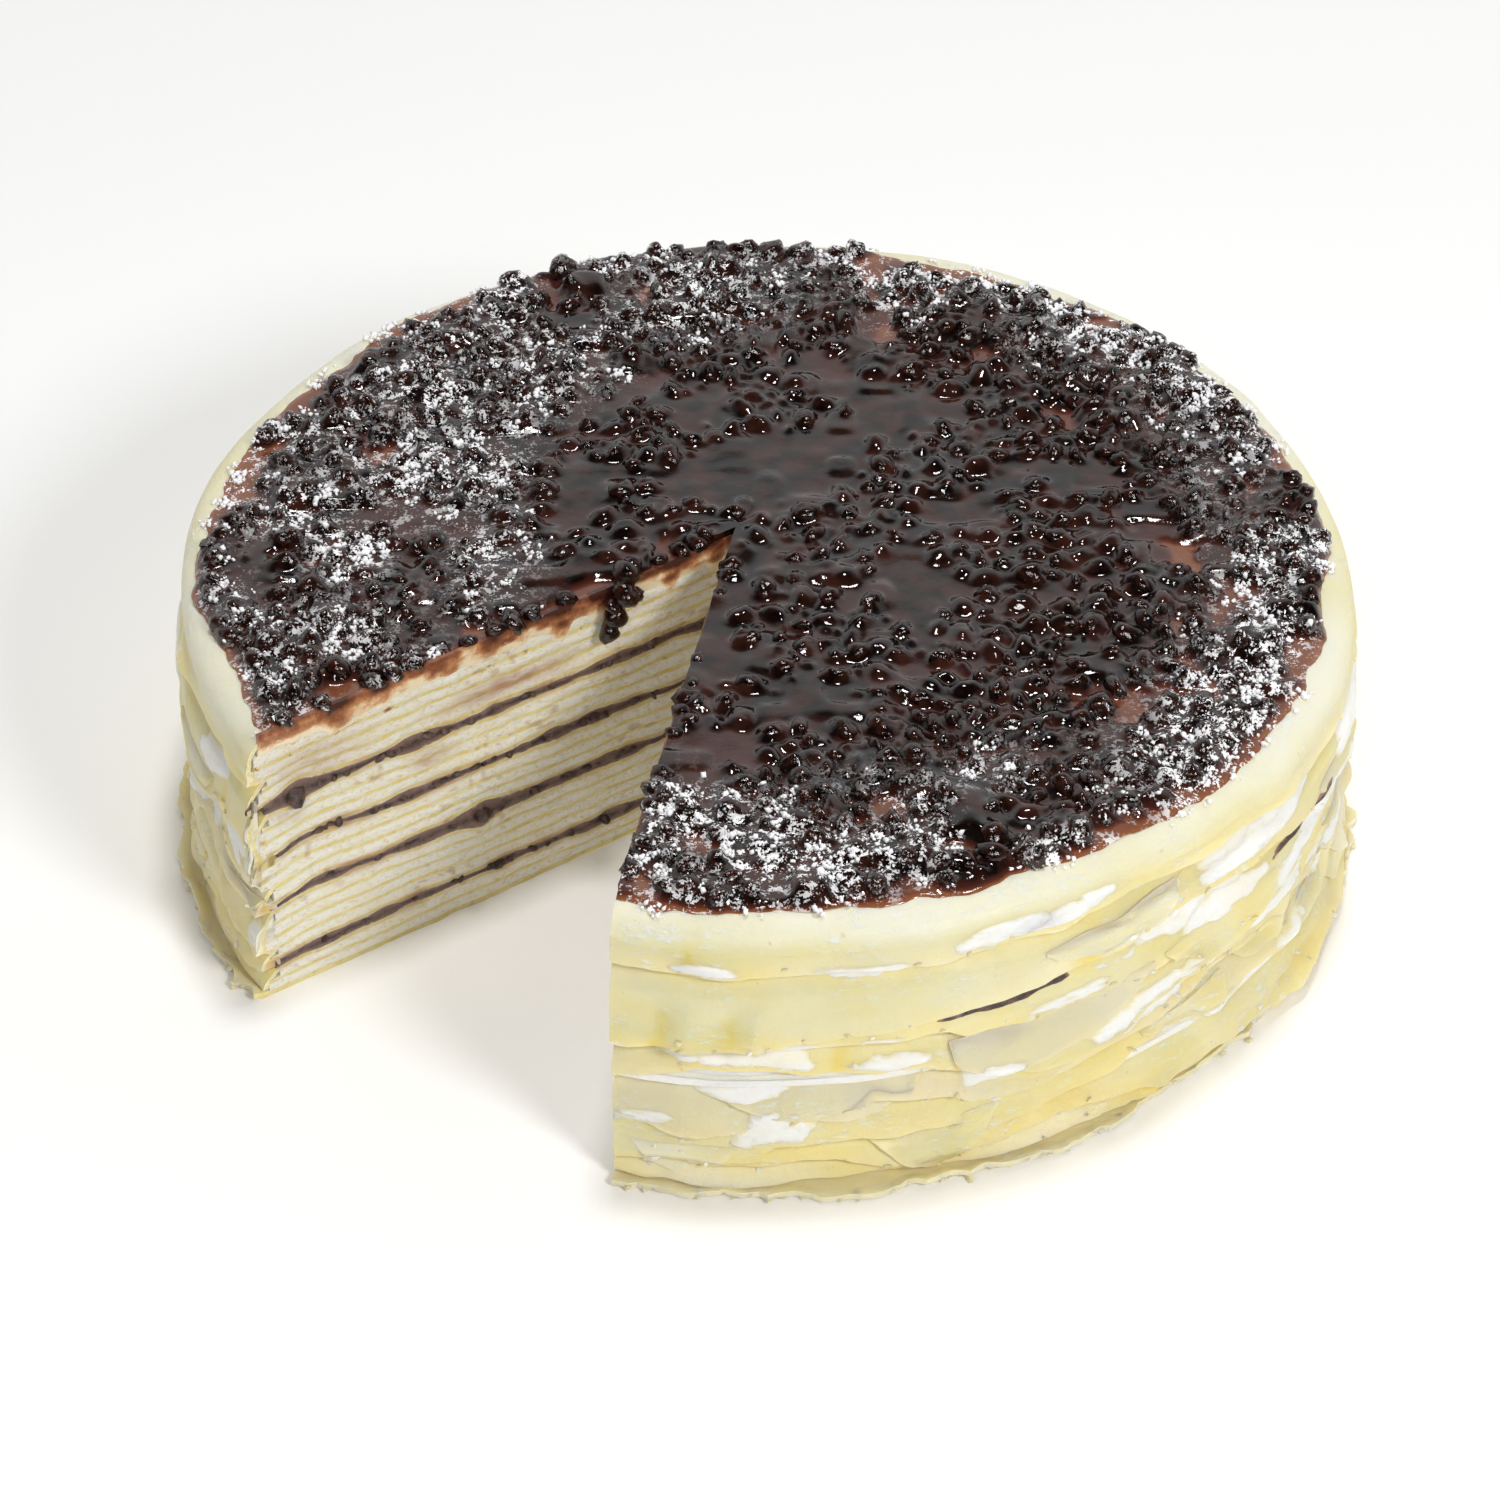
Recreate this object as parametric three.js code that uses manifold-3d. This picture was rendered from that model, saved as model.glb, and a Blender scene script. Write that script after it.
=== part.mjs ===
// A round crepe cake with one slice taken out.
// Thin crepes are stacked with whipped cream and four layers of sweet bean filling. The edge of every
// second or third crepe droops down the side like a shingle, and a bean glaze with whole beans lies on top.
//
// Units are millimetres, +Z is up, and the origin is the middle of the underside.
// All layers share one fan of rays that starts at the tip of the missing slice, so that their faces stay
// parallel: a layer is a fan of triangles from the tip out to its edge, closed by a wall at both cuts.

import * as THREE from 'three';
import { mergeVertices } from 'three/addons/utils/BufferGeometryUtils.js';
import Module from 'manifold-3d';

const { degToRad, lerp } = THREE.MathUtils;

// The whole cake
const CAKE_RADIUS = 110;
const HEM_RADIUS = 113;
const SLICE_TIP = new THREE.Vector2(-5.9, 7.3);
const FIRST_CUT = 259.2; // degrees, direction of the right-hand cut seen from the tip
const LAST_CUT = 576.1; // degrees, the left-hand cut, one turn further round
const RAY_STEP = 5; // degrees between two rays at the hem
const PLAIN_STEP = 15; // degrees between two corners of a layer whose edge is covered

// The stack, from the bottom up
const CREPE = 1.0;
const CREAM = 1.5;
const BEANS = 2.1;
const SEAM = 0.1; // air between two layers
const CREPES_PER_GROUP = [3, 5, 4, 4, 6]; // a bean layer lies between two groups
const TIP_DIP = 2.4; // the middle of the stack sinks this much at the tip
const RIM_WAVE = 0.7; // and rises and falls this much round the rim

// The drooping edges
const CLEARANCE = 0.4; // air between two drooping edges
const SIDE_WAVE = 0.8; // dents in the side
// One row for each drooping crepe: its number, how high its ragged lower edge is, how ragged that is
const DROOPS = [
  { crepe: 3, edge: 2.1, ragged: 0.6 },
  { crepe: 5, edge: 4.2, ragged: 1.8 },
  { crepe: 8, edge: 10.0, ragged: 2.4 },
  { crepe: 10, edge: 17.5, ragged: 2.4 },
  { crepe: 13, edge: 25.5, ragged: 2.4 },
  { crepe: 16, edge: 32.5, ragged: 2.0 },
  { crepe: 19, edge: 36.5, ragged: 1.8 },
  { crepe: 22, edge: 50.5, ragged: 1.2 },
];
// The widest band, on crepe 19, is lifted on the right, where more of the crepe below it shows
const LIFT = { crepe: 19, height: 7.5, angle: 318, spread: 22 };
// The lowest edges stand off the side on the right
const FLARE = { crepes: [3, 5], reach: 1.6, angle: 338, spread: 14 };
// Where a crepe bends down: inset of its upper face from the side, drop below the crepe's top, and how
// far in and down its lower face lies from there, in thicknesses of the crepe
const SHARP_BEND = [{ inset: 3.6, drop: 0, inward: 1, downward: 1 }];
const ROLLED_RIM = [
  { inset: 8.0, drop: 0.0, inward: 0.5, downward: 1 },
  { inset: 3.6, drop: 0.9, inward: 0.8, downward: 1 },
  { inset: 0.9, drop: 3.6, inward: 1, downward: 0.7 },
];

// The bean glaze
const GLAZE = 1.2;
const GLAZE_RADIUS = 105.2;
const GLAZE_WOBBLE = 1.6;
const LUMP_PLACES = 250; // places on the whole disc, before the missing slice and the edge are left out
const LUMP_SHIFT = 2.2; // a lump lies up to this far off its place
const LUMP_SIDES = 6;
const LUMP_RINGS = 4;
const LUMP_MARGIN = 0.9; // a lump's middle keeps this many of its radii inside the glaze's edge and the cuts
const LARGEST_LUMP = 6.2;
const SMALLEST_LUMP = 2.6;
const LUMP_SINK = 0.15; // a lump's middle lies this far under the glaze's surface
const LUMP_DEPTH = 0.8; // and its underside this far under its middle
// Beans that slid over the edge of the left-hand cut, from the top one down:
// distance from the tip, distance out of the cut, height, radius
const HANGING_BEANS = [
  { along: 26.0, out: 1.0, height: 63.3, radius: 3.0 },
  { along: 27.5, out: 3.1, height: 60.0, radius: 2.7 },
  { along: 29.5, out: 3.0, height: 56.2, radius: 2.6 },
  { along: 31.0, out: 2.9, height: 52.8, radius: 2.4 },
];

const finishes = {
  crepe: new THREE.MeshStandardMaterial({ color: 0xeadf9f, roughness: 0.55, metalness: 0 }),
  cream: new THREE.MeshStandardMaterial({ color: 0xf3ecd8, roughness: 0.7, metalness: 0 }),
  beans: new THREE.MeshStandardMaterial({ color: 0x4a3a33, roughness: 0.6, metalness: 0 }),
  glaze: new THREE.MeshStandardMaterial({ color: 0x2c1a17, roughness: 0.2, metalness: 0 }),
};

// A repeatable stream of numbers from 0 to 1
function randomStream(seed) {
  let state = seed;
  return () => {
    state = (state * 1664525 + 1013904223) % 4294967296;
    return state / 4294967296;
  };
}

// A smooth wave from -1 to 1 that closes after one turn; each seed gives another one
function ripple(degrees, seed, counts) {
  let sum = 0;
  for (const [order, count] of counts.entries()) {
    sum += Math.sin(count * degToRad(degrees) + seed * (order + 1.7)) / (order + 1);
  }
  return sum / counts.reduce((total, count, order) => total + 1 / (order + 1), 0);
}

// A single smooth hump round one direction
function hump(degrees, { angle, spread }) {
  const away = THREE.MathUtils.euclideanModulo(degrees - angle + 180, 360) - 180;
  return Math.exp(-((away / spread) ** 2));
}

// The rays

// The stack's wave runs straight between the corners of the plain layers, so no layer cuts the next
function stackWave(degrees) {
  const step = Math.floor(degrees / PLAIN_STEP);
  const low = ripple(step * PLAIN_STEP, 1, [2, 3]);
  const high = ripple((step + 1) * PLAIN_STEP, 1, [2, 3]);
  return lerp(low, high, degrees / PLAIN_STEP - step);
}

function makeRay(direction, degrees) {
  const along = direction.dot(SLICE_TIP);
  return {
    degrees,
    direction,
    wave: stackWave(degrees),
    side: CAKE_RADIUS + SIDE_WAVE * ripple(degrees, 2, [4, 7, 11]),
    // distance from the tip to the circle of the given radius round the origin
    reach: (radius) => -along + Math.sqrt(along * along + radius * radius - SLICE_TIP.lengthSq()),
  };
}

function cutRay(degrees) {
  const direction = new THREE.Vector2(Math.cos(degToRad(degrees)), Math.sin(degToRad(degrees)));
  const corner = direction.clone().multiplyScalar(makeRay(direction, 0).reach(CAKE_RADIUS)).add(SLICE_TIP);
  const turned = THREE.MathUtils.radToDeg(Math.atan2(corner.y, corner.x));
  return makeRay(direction, THREE.MathUtils.euclideanModulo(turned, 360) + 360 * Math.floor(degrees / 360));
}

function hemRay(degrees) {
  const hem = new THREE.Vector2(Math.cos(degToRad(degrees)), Math.sin(degToRad(degrees)));
  return makeRay(hem.multiplyScalar(HEM_RADIUS).sub(SLICE_TIP).normalize(), degrees);
}

function fanOfRays(step) {
  const first = cutRay(FIRST_CUT);
  const last = cutRay(LAST_CUT);
  const rays = [first];
  for (let degrees = Math.ceil(first.degrees / step) * step; degrees < last.degrees; degrees += step) {
    const farFromCuts = degrees - first.degrees > step / 2 && last.degrees - degrees > step / 2;
    if (farFromCuts) rays.push(hemRay(degrees));
  }
  return [...rays, last];
}

// The stack of layers

// Names, finishes and flat heights of all layers, from the bottom up
function stackLayers() {
  const layers = [];
  const counts = { crepe: 0, cream: 0, bean_filling: 0 };
  let height = 0;
  const lay = (kind, finish, thickness) => {
    counts[kind] += 1;
    const label = String(counts[kind]).padStart(2, '0');
    const low = height;
    layers.push({ name: `${kind}_${label}`, kind, number: counts[kind], finish, low, high: low + thickness });
    height = low + thickness + SEAM;
  };
  for (const [group, crepes] of CREPES_PER_GROUP.entries()) {
    if (group > 0) lay('bean_filling', finishes.beans, BEANS);
    for (let crepe = 0; crepe < crepes; crepe += 1) {
      if (crepe > 0) lay('cream', finishes.cream, CREAM);
      lay('crepe', finishes.crepe, CREPE);
    }
  }
  return layers;
}

const layers = stackLayers();
const stackHeight = layers.at(-1).high;

function heightOn(ray, radius, flatHeight) {
  const belly = Math.sin(Math.PI * flatHeight / stackHeight);
  const atTip = flatHeight - TIP_DIP * belly;
  const atRim = flatHeight + RIM_WAVE * ray.wave * belly;
  return lerp(atTip, atRim, ray.reach(radius) / ray.reach(CAKE_RADIUS));
}

// Where a side profile, given as rows of radius and height from the inside out, comes down to a height
function radiusAt(rows, height) {
  for (let row = 1; row < rows.length; row += 1) {
    const [inner, outer] = [rows[row - 1], rows[row]];
    if (height <= inner.height && height >= outer.height) {
      return lerp(inner.radius, outer.radius, (inner.height - height) / (inner.height - outer.height));
    }
  }
  return height > rows[0].height ? rows[0].radius : rows.at(-1).radius;
}

// The upper and lower rows of one drooping crepe along one ray, kept clear of the droop below it
function droopRows(layer, droop, ray, below) {
  const isTopCrepe = layer === layers.at(-1);
  const bends = isTopCrepe ? ROLLED_RIM : SHARP_BEND;
  const over = bends.map(({ inset, drop }) => {
    const radius = ray.side - inset;
    return { radius, height: heightOn(ray, radius, layer.high) - drop };
  });
  const under = bends.map(({ inward, downward }, bend) => {
    const radius = over[bend].radius - CREPE * inward;
    const flatHeight = heightOn(ray, radius, layer.low);
    return { radius, height: bend === 0 ? flatHeight : over[bend].height - CREPE * downward };
  });

  let edge = droop.edge + droop.ragged * ripple(ray.degrees, layer.number, [5, 9, 16]);
  if (layer.number === LIFT.crepe) edge += LIFT.height * hump(ray.degrees, LIFT);
  let radius = ray.side;
  if (FLARE.crepes.includes(layer.number)) radius += FLARE.reach * hump(ray.degrees, FLARE);
  if (below) radius = Math.max(radius, radiusAt(below, edge) + CLEARANCE + CREPE);
  over.push({ radius, height: edge });
  under.push({ radius: radius - CREPE, height: edge });
  return { over, under };
}

// A closed solid from matching rows above and below, one pair for each ray
function fanSolid(rays, rowsOn, tipOver, tipUnder) {
  const positions = [];
  const put = (x, y, z) => positions.push(x, y, z) / 3 - 1;
  const tips = [put(SLICE_TIP.x, SLICE_TIP.y, tipOver), put(SLICE_TIP.x, SLICE_TIP.y, tipUnder)];
  const strips = rays.map((ray) => {
    const place = ({ radius, height }) => {
      const point = ray.direction.clone().multiplyScalar(ray.reach(radius)).add(SLICE_TIP);
      return put(point.x, point.y, height);
    };
    const { over, under } = rowsOn(ray);
    return [[tips[0], ...over.map(place)], [tips[1], ...under.map(place)]];
  });

  const faces = [];
  const triangle = (a, b, c) => {
    if (a !== b && b !== c && c !== a) faces.push(a, b, c);
  };
  const quad = (a, b, c, d) => {
    triangle(a, b, c);
    triangle(a, c, d);
  };
  for (let index = 1; index < strips.length; index += 1) {
    const [[overA, underA], [overB, underB]] = [strips[index - 1], strips[index]];
    for (let row = 1; row < overA.length; row += 1) {
      quad(overA[row - 1], overA[row], overB[row], overB[row - 1]);
      quad(underA[row - 1], underB[row - 1], underB[row], underA[row]);
    }
    quad(overA.at(-1), underA.at(-1), underB.at(-1), overB.at(-1));
  }
  const wall = ([over, under], turned) => {
    for (let row = 1; row < over.length; row += 1) {
      const corners = [over[row - 1], under[row - 1], under[row], over[row]];
      quad(...(turned ? corners.reverse() : corners));
    }
  };
  wall(strips[0], false);
  wall(strips.at(-1), true);

  const geometry = new THREE.BufferGeometry();
  geometry.setAttribute('position', new THREE.Float32BufferAttribute(positions, 3));
  geometry.setIndex(faces);
  return geometry;
}

function layerMesh(layer, rays, rowsOn) {
  const tipRay = rays[0];
  const tipRadius = SLICE_TIP.length();
  const over = heightOn(tipRay, tipRadius, layer.high);
  const under = heightOn(tipRay, tipRadius, layer.low);
  const mesh = new THREE.Mesh(fanSolid(rays, rowsOn, over, under), layer.finish.clone());
  mesh.name = layer.name;
  return mesh;
}

// The bottom crepe lies flat, and its torn hem spreads outwards. The hem is widest on the two axes.
function bottomCrepe(layer, rays) {
  return layerMesh(layer, rays, (ray) => {
    const torn = 0.5 + 0.5 * ripple(ray.degrees, 9, [6, 13, 19]);
    const radius = HEM_RADIUS - 2 * torn * Math.sin(2 * degToRad(ray.degrees)) ** 2;
    return { over: [{ radius, height: layer.high }], under: [{ radius, height: layer.low }] };
  });
}

// A layer that ends under the drooping edge of a crepe above it
function coveredLayer(layer, rays, coverOn) {
  return layerMesh(layer, rays, (ray) => {
    const cover = coverOn(ray);
    const topHeight = heightOn(ray, cover[0].radius, layer.high);
    const radius = radiusAt(cover, topHeight) - CLEARANCE;
    return {
      over: [{ radius, height: heightOn(ray, radius, layer.high) }],
      under: [{ radius, height: heightOn(ray, radius, layer.low) }],
    };
  });
}

function stackMeshes() {
  const fineRays = fanOfRays(RAY_STEP);
  const plainRays = fanOfRays(PLAIN_STEP);
  const crepeLayers = layers.filter((layer) => layer.kind === 'crepe');
  const droopOn = (index) => (ray) => {
    const below = index > 0 ? droopOn(index - 1)(ray).over : undefined;
    return droopRows(crepeLayers[DROOPS[index].crepe - 1], DROOPS[index], ray, below);
  };

  return layers.map((layer) => {
    if (layer === layers[0]) return bottomCrepe(layer, fineRays);
    const own = DROOPS.findIndex(({ crepe }) => layer.kind === 'crepe' && crepe === layer.number);
    if (own >= 0) return layerMesh(layer, fineRays, droopOn(own));
    const cover = DROOPS.findIndex(({ crepe }) => crepeLayers[crepe - 1].low > layer.high);
    return coveredLayer(layer, plainRays, (ray) => droopOn(cover)(ray).under);
  });
}

// The glaze and its beans

const wasm = await Module();
wasm.setup();

function toManifold(geometry) {
  const bare = geometry.clone();
  bare.deleteAttribute('normal');
  bare.deleteAttribute('uv');
  const merged = mergeVertices(bare);
  const mesh = new wasm.Mesh({
    numProp: 3,
    vertProperties: new Float32Array(merged.attributes.position.array),
    triVerts: new Uint32Array(merged.index.array),
  });
  return new wasm.Manifold(mesh);
}

function toGeometry(manifold) {
  const mesh = manifold.getMesh();
  const geometry = new THREE.BufferGeometry();
  geometry.setAttribute('position', new THREE.Float32BufferAttribute(mesh.vertProperties, mesh.numProp));
  geometry.setIndex([...mesh.triVerts]);
  return geometry;
}

function glazeEdge(degrees) {
  return GLAZE_RADIUS + GLAZE_WOBBLE * ripple(degrees, 5, [3, 8, 14]);
}

// Distance from a point on top of the cake to the nearer of the two cuts, negative in the missing slice
function distanceToCuts(point) {
  const spoke = point.clone().sub(SLICE_TIP);
  const [first, last] = [FIRST_CUT, LAST_CUT].map(degToRad);
  const pastFirst = Math.cos(first) * spoke.y - Math.sin(first) * spoke.x;
  const beforeLast = Math.sin(last) * spoke.x - Math.cos(last) * spoke.y;
  return Math.max(pastFirst, beforeLast);
}

function beanSolid(radii, depth, turn, centre) {
  const bean = new THREE.SphereGeometry(1, LUMP_SIDES, LUMP_RINGS);
  bean.rotateX(Math.PI / 2);
  const { position } = bean.attributes;
  for (let index = 0; index < position.count; index += 1) {
    const height = position.getZ(index) > 0 ? radii.z : depth;
    position.setXYZ(
      index,
      position.getX(index) * radii.x,
      position.getY(index) * radii.y,
      position.getZ(index) * height,
    );
  }
  bean.rotateZ(turn);
  bean.translate(centre.x, centre.y, centre.z);
  return toManifold(bean);
}

// Lumps of one or more beans, spread evenly on a sunflower's spiral and then shaken a little
function scatterLumps(surface) {
  const random = randomStream(41);
  const goldenAngle = Math.PI * (3 - Math.sqrt(5));
  const lumps = [];
  for (let place = 0; place < LUMP_PLACES; place += 1) {
    const radius = GLAZE_RADIUS * Math.sqrt((place + 0.5) / LUMP_PLACES);
    const point = new THREE.Vector2(Math.cos(place * goldenAngle), Math.sin(place * goldenAngle));
    point.multiplyScalar(radius);
    point.x += LUMP_SHIFT * (2 * random() - 1);
    point.y += LUMP_SHIFT * (2 * random() - 1);
    const size = lerp(SMALLEST_LUMP, LARGEST_LUMP, random() ** 1.6);
    const radii = new THREE.Vector3(size, size * lerp(0.62, 0.95, random()), size * lerp(0.42, 0.66, random()));
    const turn = Math.PI * random();
    const edge = glazeEdge(THREE.MathUtils.radToDeg(Math.atan2(point.y, point.x)));
    const room = Math.min(edge - point.length(), distanceToCuts(point)) - size * LUMP_MARGIN;
    const centre = new THREE.Vector3(point.x, point.y, surface - LUMP_SINK);
    if (room > 0) lumps.push(beanSolid(radii, LUMP_DEPTH, turn, centre));
  }
  return lumps;
}

function hangingBeans() {
  const cut = degToRad(LAST_CUT);
  const along = new THREE.Vector2(Math.cos(cut), Math.sin(cut));
  const out = new THREE.Vector2(-along.y, along.x);
  return HANGING_BEANS.map((bean) => {
    const place = SLICE_TIP.clone().addScaledVector(along, bean.along).addScaledVector(out, bean.out);
    const radii = new THREE.Vector3(bean.radius, bean.radius, bean.radius);
    return beanSolid(radii, bean.radius, cut, new THREE.Vector3(place.x, place.y, bean.height));
  });
}

function glazeMesh() {
  const low = stackHeight + SEAM;
  const high = low + GLAZE;
  const film = fanSolid(fanOfRays(RAY_STEP), (ray) => {
    const radius = glazeEdge(ray.degrees);
    return { over: [{ radius, height: high }], under: [{ radius, height: low }] };
  }, high, low);
  let topping = toManifold(film);
  for (const lump of [...scatterLumps(high), ...hangingBeans()]) topping = topping.add(lump);
  const mesh = new THREE.Mesh(toGeometry(topping), finishes.glaze.clone());
  mesh.name = 'bean_glaze';
  return mesh;
}

const cake = new THREE.Group();
cake.add(...stackMeshes(), glazeMesh());

export default cake;
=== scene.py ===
# %% [markdown]
# # A crepe cake with a glossy bean top
# This lesson dresses a finished CAD model of a crepe cake. The cake has 22 crepes, whipped cream between
# them, four layers of sweet bean filling, and a bean glaze with a dusting of sugar. One slice is missing, so
# the layers show. The first step loads the CAD frame.

import bpy
import numpy as np
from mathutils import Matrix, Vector


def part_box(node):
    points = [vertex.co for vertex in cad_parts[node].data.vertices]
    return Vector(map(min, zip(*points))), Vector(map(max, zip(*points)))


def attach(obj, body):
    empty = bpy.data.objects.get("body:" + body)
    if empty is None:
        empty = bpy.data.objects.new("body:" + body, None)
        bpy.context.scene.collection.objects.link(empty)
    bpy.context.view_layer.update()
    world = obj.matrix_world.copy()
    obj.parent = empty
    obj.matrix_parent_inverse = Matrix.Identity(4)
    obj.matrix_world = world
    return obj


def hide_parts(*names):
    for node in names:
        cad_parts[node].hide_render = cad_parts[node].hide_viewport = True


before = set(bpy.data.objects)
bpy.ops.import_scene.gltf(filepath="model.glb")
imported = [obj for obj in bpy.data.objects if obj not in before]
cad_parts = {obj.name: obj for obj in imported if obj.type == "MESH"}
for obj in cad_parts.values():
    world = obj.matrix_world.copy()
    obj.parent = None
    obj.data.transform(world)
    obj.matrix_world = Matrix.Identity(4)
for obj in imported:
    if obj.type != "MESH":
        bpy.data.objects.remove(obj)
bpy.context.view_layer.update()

# %% [markdown]
# ## Sizes
# All sizes below are in millimetres and become metres only when a mesh is made. The stack's rule is the
# CAD model's own: groups of crepes with cream between them, and a bean layer between two groups. Every layer
# is described in polar form from the tip of the missing slice, because both cuts then are simple edges.

# %% Driving sizes
MM = 0.001
CAKE_RADIUS = 110.0
HEM_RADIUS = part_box("crepe_01")[1].x / MM
# Tip of the missing slice, from the middle of the cake, and the directions of the cuts, the second a turn on
TIP = np.array([-5.9, 7.3])
FIRST_CUT, LAST_CUT = 259.2, 576.1
# Thickness of each kind of layer, and the seam that the CAD leaves between two. Here no seam shows, because
# every layer fills the seam above it and laps a little further up
CREPE, CREAM, BEANS, SEAM = 1.0, 1.5, 2.1, 0.1
LAP = 0.14
CREPES_PER_GROUP = [3, 5, 4, 4, 6]
# How far the layers dip at the tip, and rise and fall round the rim
TIP_DIP = 2.4
RIM_WAVE = 0.7


def stack_layers():
    """Name, kind, number and flat heights of every layer, from the bottom up."""
    layers, counts, height = [], {}, 0.0
    for group, crepes in enumerate(CREPES_PER_GROUP):
        kinds = ["bean_filling"] if group else []
        kinds += ["crepe", "cream"] * (crepes - 1) + ["crepe"]
        for kind in kinds:
            thickness = {"crepe": CREPE, "cream": CREAM, "bean_filling": BEANS}[kind]
            counts[kind] = counts.get(kind, 0) + 1
            name = f"{kind}_{counts[kind]:02d}"
            layers.append({"name": name, "kind": kind, "number": counts[kind],
                           "low": height, "high": height + thickness + SEAM + LAP})
            height += thickness + SEAM
    layers[-1]["high"] -= SEAM + LAP
    return layers


layers = stack_layers()
STACK_HEIGHT = layers[-1]["high"]
by_name = {layer["name"]: layer for layer in layers}

# %% [markdown]
# ## Two kinds of unevenness
# Food is never regular. Slow waves that close after one turn shape the rim, and they are sums of sines. Finer
# unevenness comes from smooth noise: a hash gives every corner of a grid its own number, and a soft blend
# runs between the corners. Written with whole arrays, it treats a hundred thousand points at once, and the
# same seed always gives the same cake. In the calls below, each position is divided by the size of the bumps
# in millimetres, and the number after the positions is a seed, which keeps the patterns apart.

# %% Waves and noise
HASH_FACTORS = np.array([73856093, 19349663, 83492791, 2654435761], dtype=np.uint64)
LOW_BITS = np.uint64(0xFFFFFFFF)


def corner_value(ix, iy, iz, seed):
    """A number from -1 to 1 for each corner of the noise grid."""
    parts = [np.asarray(part).astype(np.int64).astype(np.uint64) for part in (ix, iy, iz, seed)]
    mixed = np.zeros(np.broadcast(*parts).shape, dtype=np.uint64)
    for part, factor in zip(parts, HASH_FACTORS):
        mixed = mixed ^ ((part * factor) & LOW_BITS)
    for shift, factor in ((15, 2246822519), (13, 3266489917)):
        mixed = ((mixed ^ (mixed >> np.uint64(shift))) * np.uint64(factor)) & LOW_BITS
    return (mixed ^ (mixed >> np.uint64(16))) / float(LOW_BITS) * 2 - 1


def noise(x, y, z=0.0, seed=0):
    """Smooth noise from -1 to 1. Positions are in cells of the grid."""
    x, y, z = np.broadcast_arrays(*(np.asarray(part, dtype=float) for part in (x, y, z)))
    floors = [np.floor(part) for part in (x, y, z)]
    blends = [part - floor for part, floor in zip((x, y, z), floors)]
    blends = [t * t * t * (t * (t * 6 - 15) + 10) for t in blends]
    total = np.zeros(x.shape)
    for corner in np.ndindex(2, 2, 2):
        weight = np.ones(x.shape)
        for step, blend in zip(corner, blends):
            weight = weight * (blend if step else 1 - blend)
        total += weight * corner_value(*(floor + step for floor, step in zip(floors, corner)), seed)
    return total


def rough(x, y, z=0.0, seed=0, octaves=3):
    """Noise with finer and weaker noise on top, still from about -1 to 1."""
    total, weight, reach_sum = 0.0, 1.0, 0.0
    for octave in range(octaves):
        scale = 2.0 ** octave
        total = total + weight * noise(np.asarray(x) * scale, np.asarray(y) * scale, np.asarray(z) * scale,
                                       seed + 17 * octave)
        reach_sum += weight
        weight *= 0.5
    return total / reach_sum


def ripple(degrees, seed, counts):
    """A slow wave from -1 to 1 that closes after one turn."""
    angle = np.radians(degrees)
    parts = [np.sin(count * angle + seed * (order + 1.7)) / (order + 1) for order, count in enumerate(counts)]
    return sum(parts) / sum(1 / (order + 1) for order in range(len(counts)))


def ease(low, high, value):
    """0 below low, 1 above high, and a soft step between."""
    t = np.clip((value - low) / (high - low), 0, 1)
    return t * t * (3 - 2 * t)


def hump(degrees, angle, spread):
    """A single bump of height 1 round one direction."""
    away = (np.asarray(degrees) - angle + 180) % 360 - 180
    return np.exp(-(away / spread) ** 2)


# %% [markdown]
# ## The fan of rays
# Columns of points run outwards from the tip of the slice, from one cut all the way round to the other. A
# point is placed by its radius from the middle of the cake, so `reach` solves where a ray meets that circle.

# %% Rays from the tip
COLUMNS = 420


def direction_of(degrees):
    """Unit vectors of the plan that point in the given directions."""
    return np.stack([np.cos(np.radians(degrees)), np.sin(np.radians(degrees))], axis=-1)


def reach(ray, radius):
    """Distance from the tip, along a ray, to the circle of that radius round the origin."""
    along = ray @ TIP
    return -along + np.sqrt(along ** 2 + np.asarray(radius) ** 2 - TIP @ TIP)


def on_ray(ray, radius):
    """Points of the plan where rays meet circles of the given radii."""
    return TIP + ray * reach(ray, radius)[..., None]


def bearing(x, y):
    """Direction of a point, in degrees, seen from the middle of the cake."""
    return np.degrees(np.arctan2(y, x))


def raised(flat, heights):
    """Points in space from points of the plan and their heights."""
    return np.concatenate([flat, heights[..., None]], axis=-1)


rays = direction_of(np.linspace(FIRST_CUT, LAST_CUT, COLUMNS))
rim_points = on_ray(rays, np.full(COLUMNS, CAKE_RADIUS))
turns = np.degrees(np.unwrap(np.arctan2(rim_points[:, 1], rim_points[:, 0])))
turns += 360 * np.round((FIRST_CUT - turns[0]) / 360)


def side_at(degrees):
    """Radius of the cake's side, slightly out of round."""
    return CAKE_RADIUS + 0.8 * ripple(degrees, 2, [4, 7, 11])


side_radius = side_at(turns)
print("columns are", round(np.radians(turns[1] - turns[0]) * CAKE_RADIUS, 2), "mm apart at the side")

# %% [markdown]
# ## How the stack sags
# In a real stack the layers aren't flat: they dip in the middle, rise and fall round the rim, and turn down
# at the edge. `stack_height` bends every flat height in the same way, so the top of one layer is always the
# underside of the next, and no gap opens. The bean layers swell where whole beans lie, and thin out between.

# %% Heights in the stack
bean_middles = [(layer["low"] + layer["high"]) / 2 for layer in layers if layer["kind"] == "bean_filling"]
SWELL_REACH = 2.6
RIM_SAG = 2.2
# Unevenness of the layers: height, size in the plan, size upright, seed
SAG_NOISE = [(0.42, 17, 6, 21), (0.25, 6, 3, 22), (0.11, 2.3, 1.8, 23)]
# Whole beans cut through at the left-hand cut: bean layer, distance from the tip, swelling
CUT_BEANS = [(1, 59.0, 4.6), (3, 99.0, 5.0), (3, 70.0, 1.5), (2, 33.0, 1.5), (0, 56.0, 1.6), (0, 31.0, 1.2)]


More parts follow.
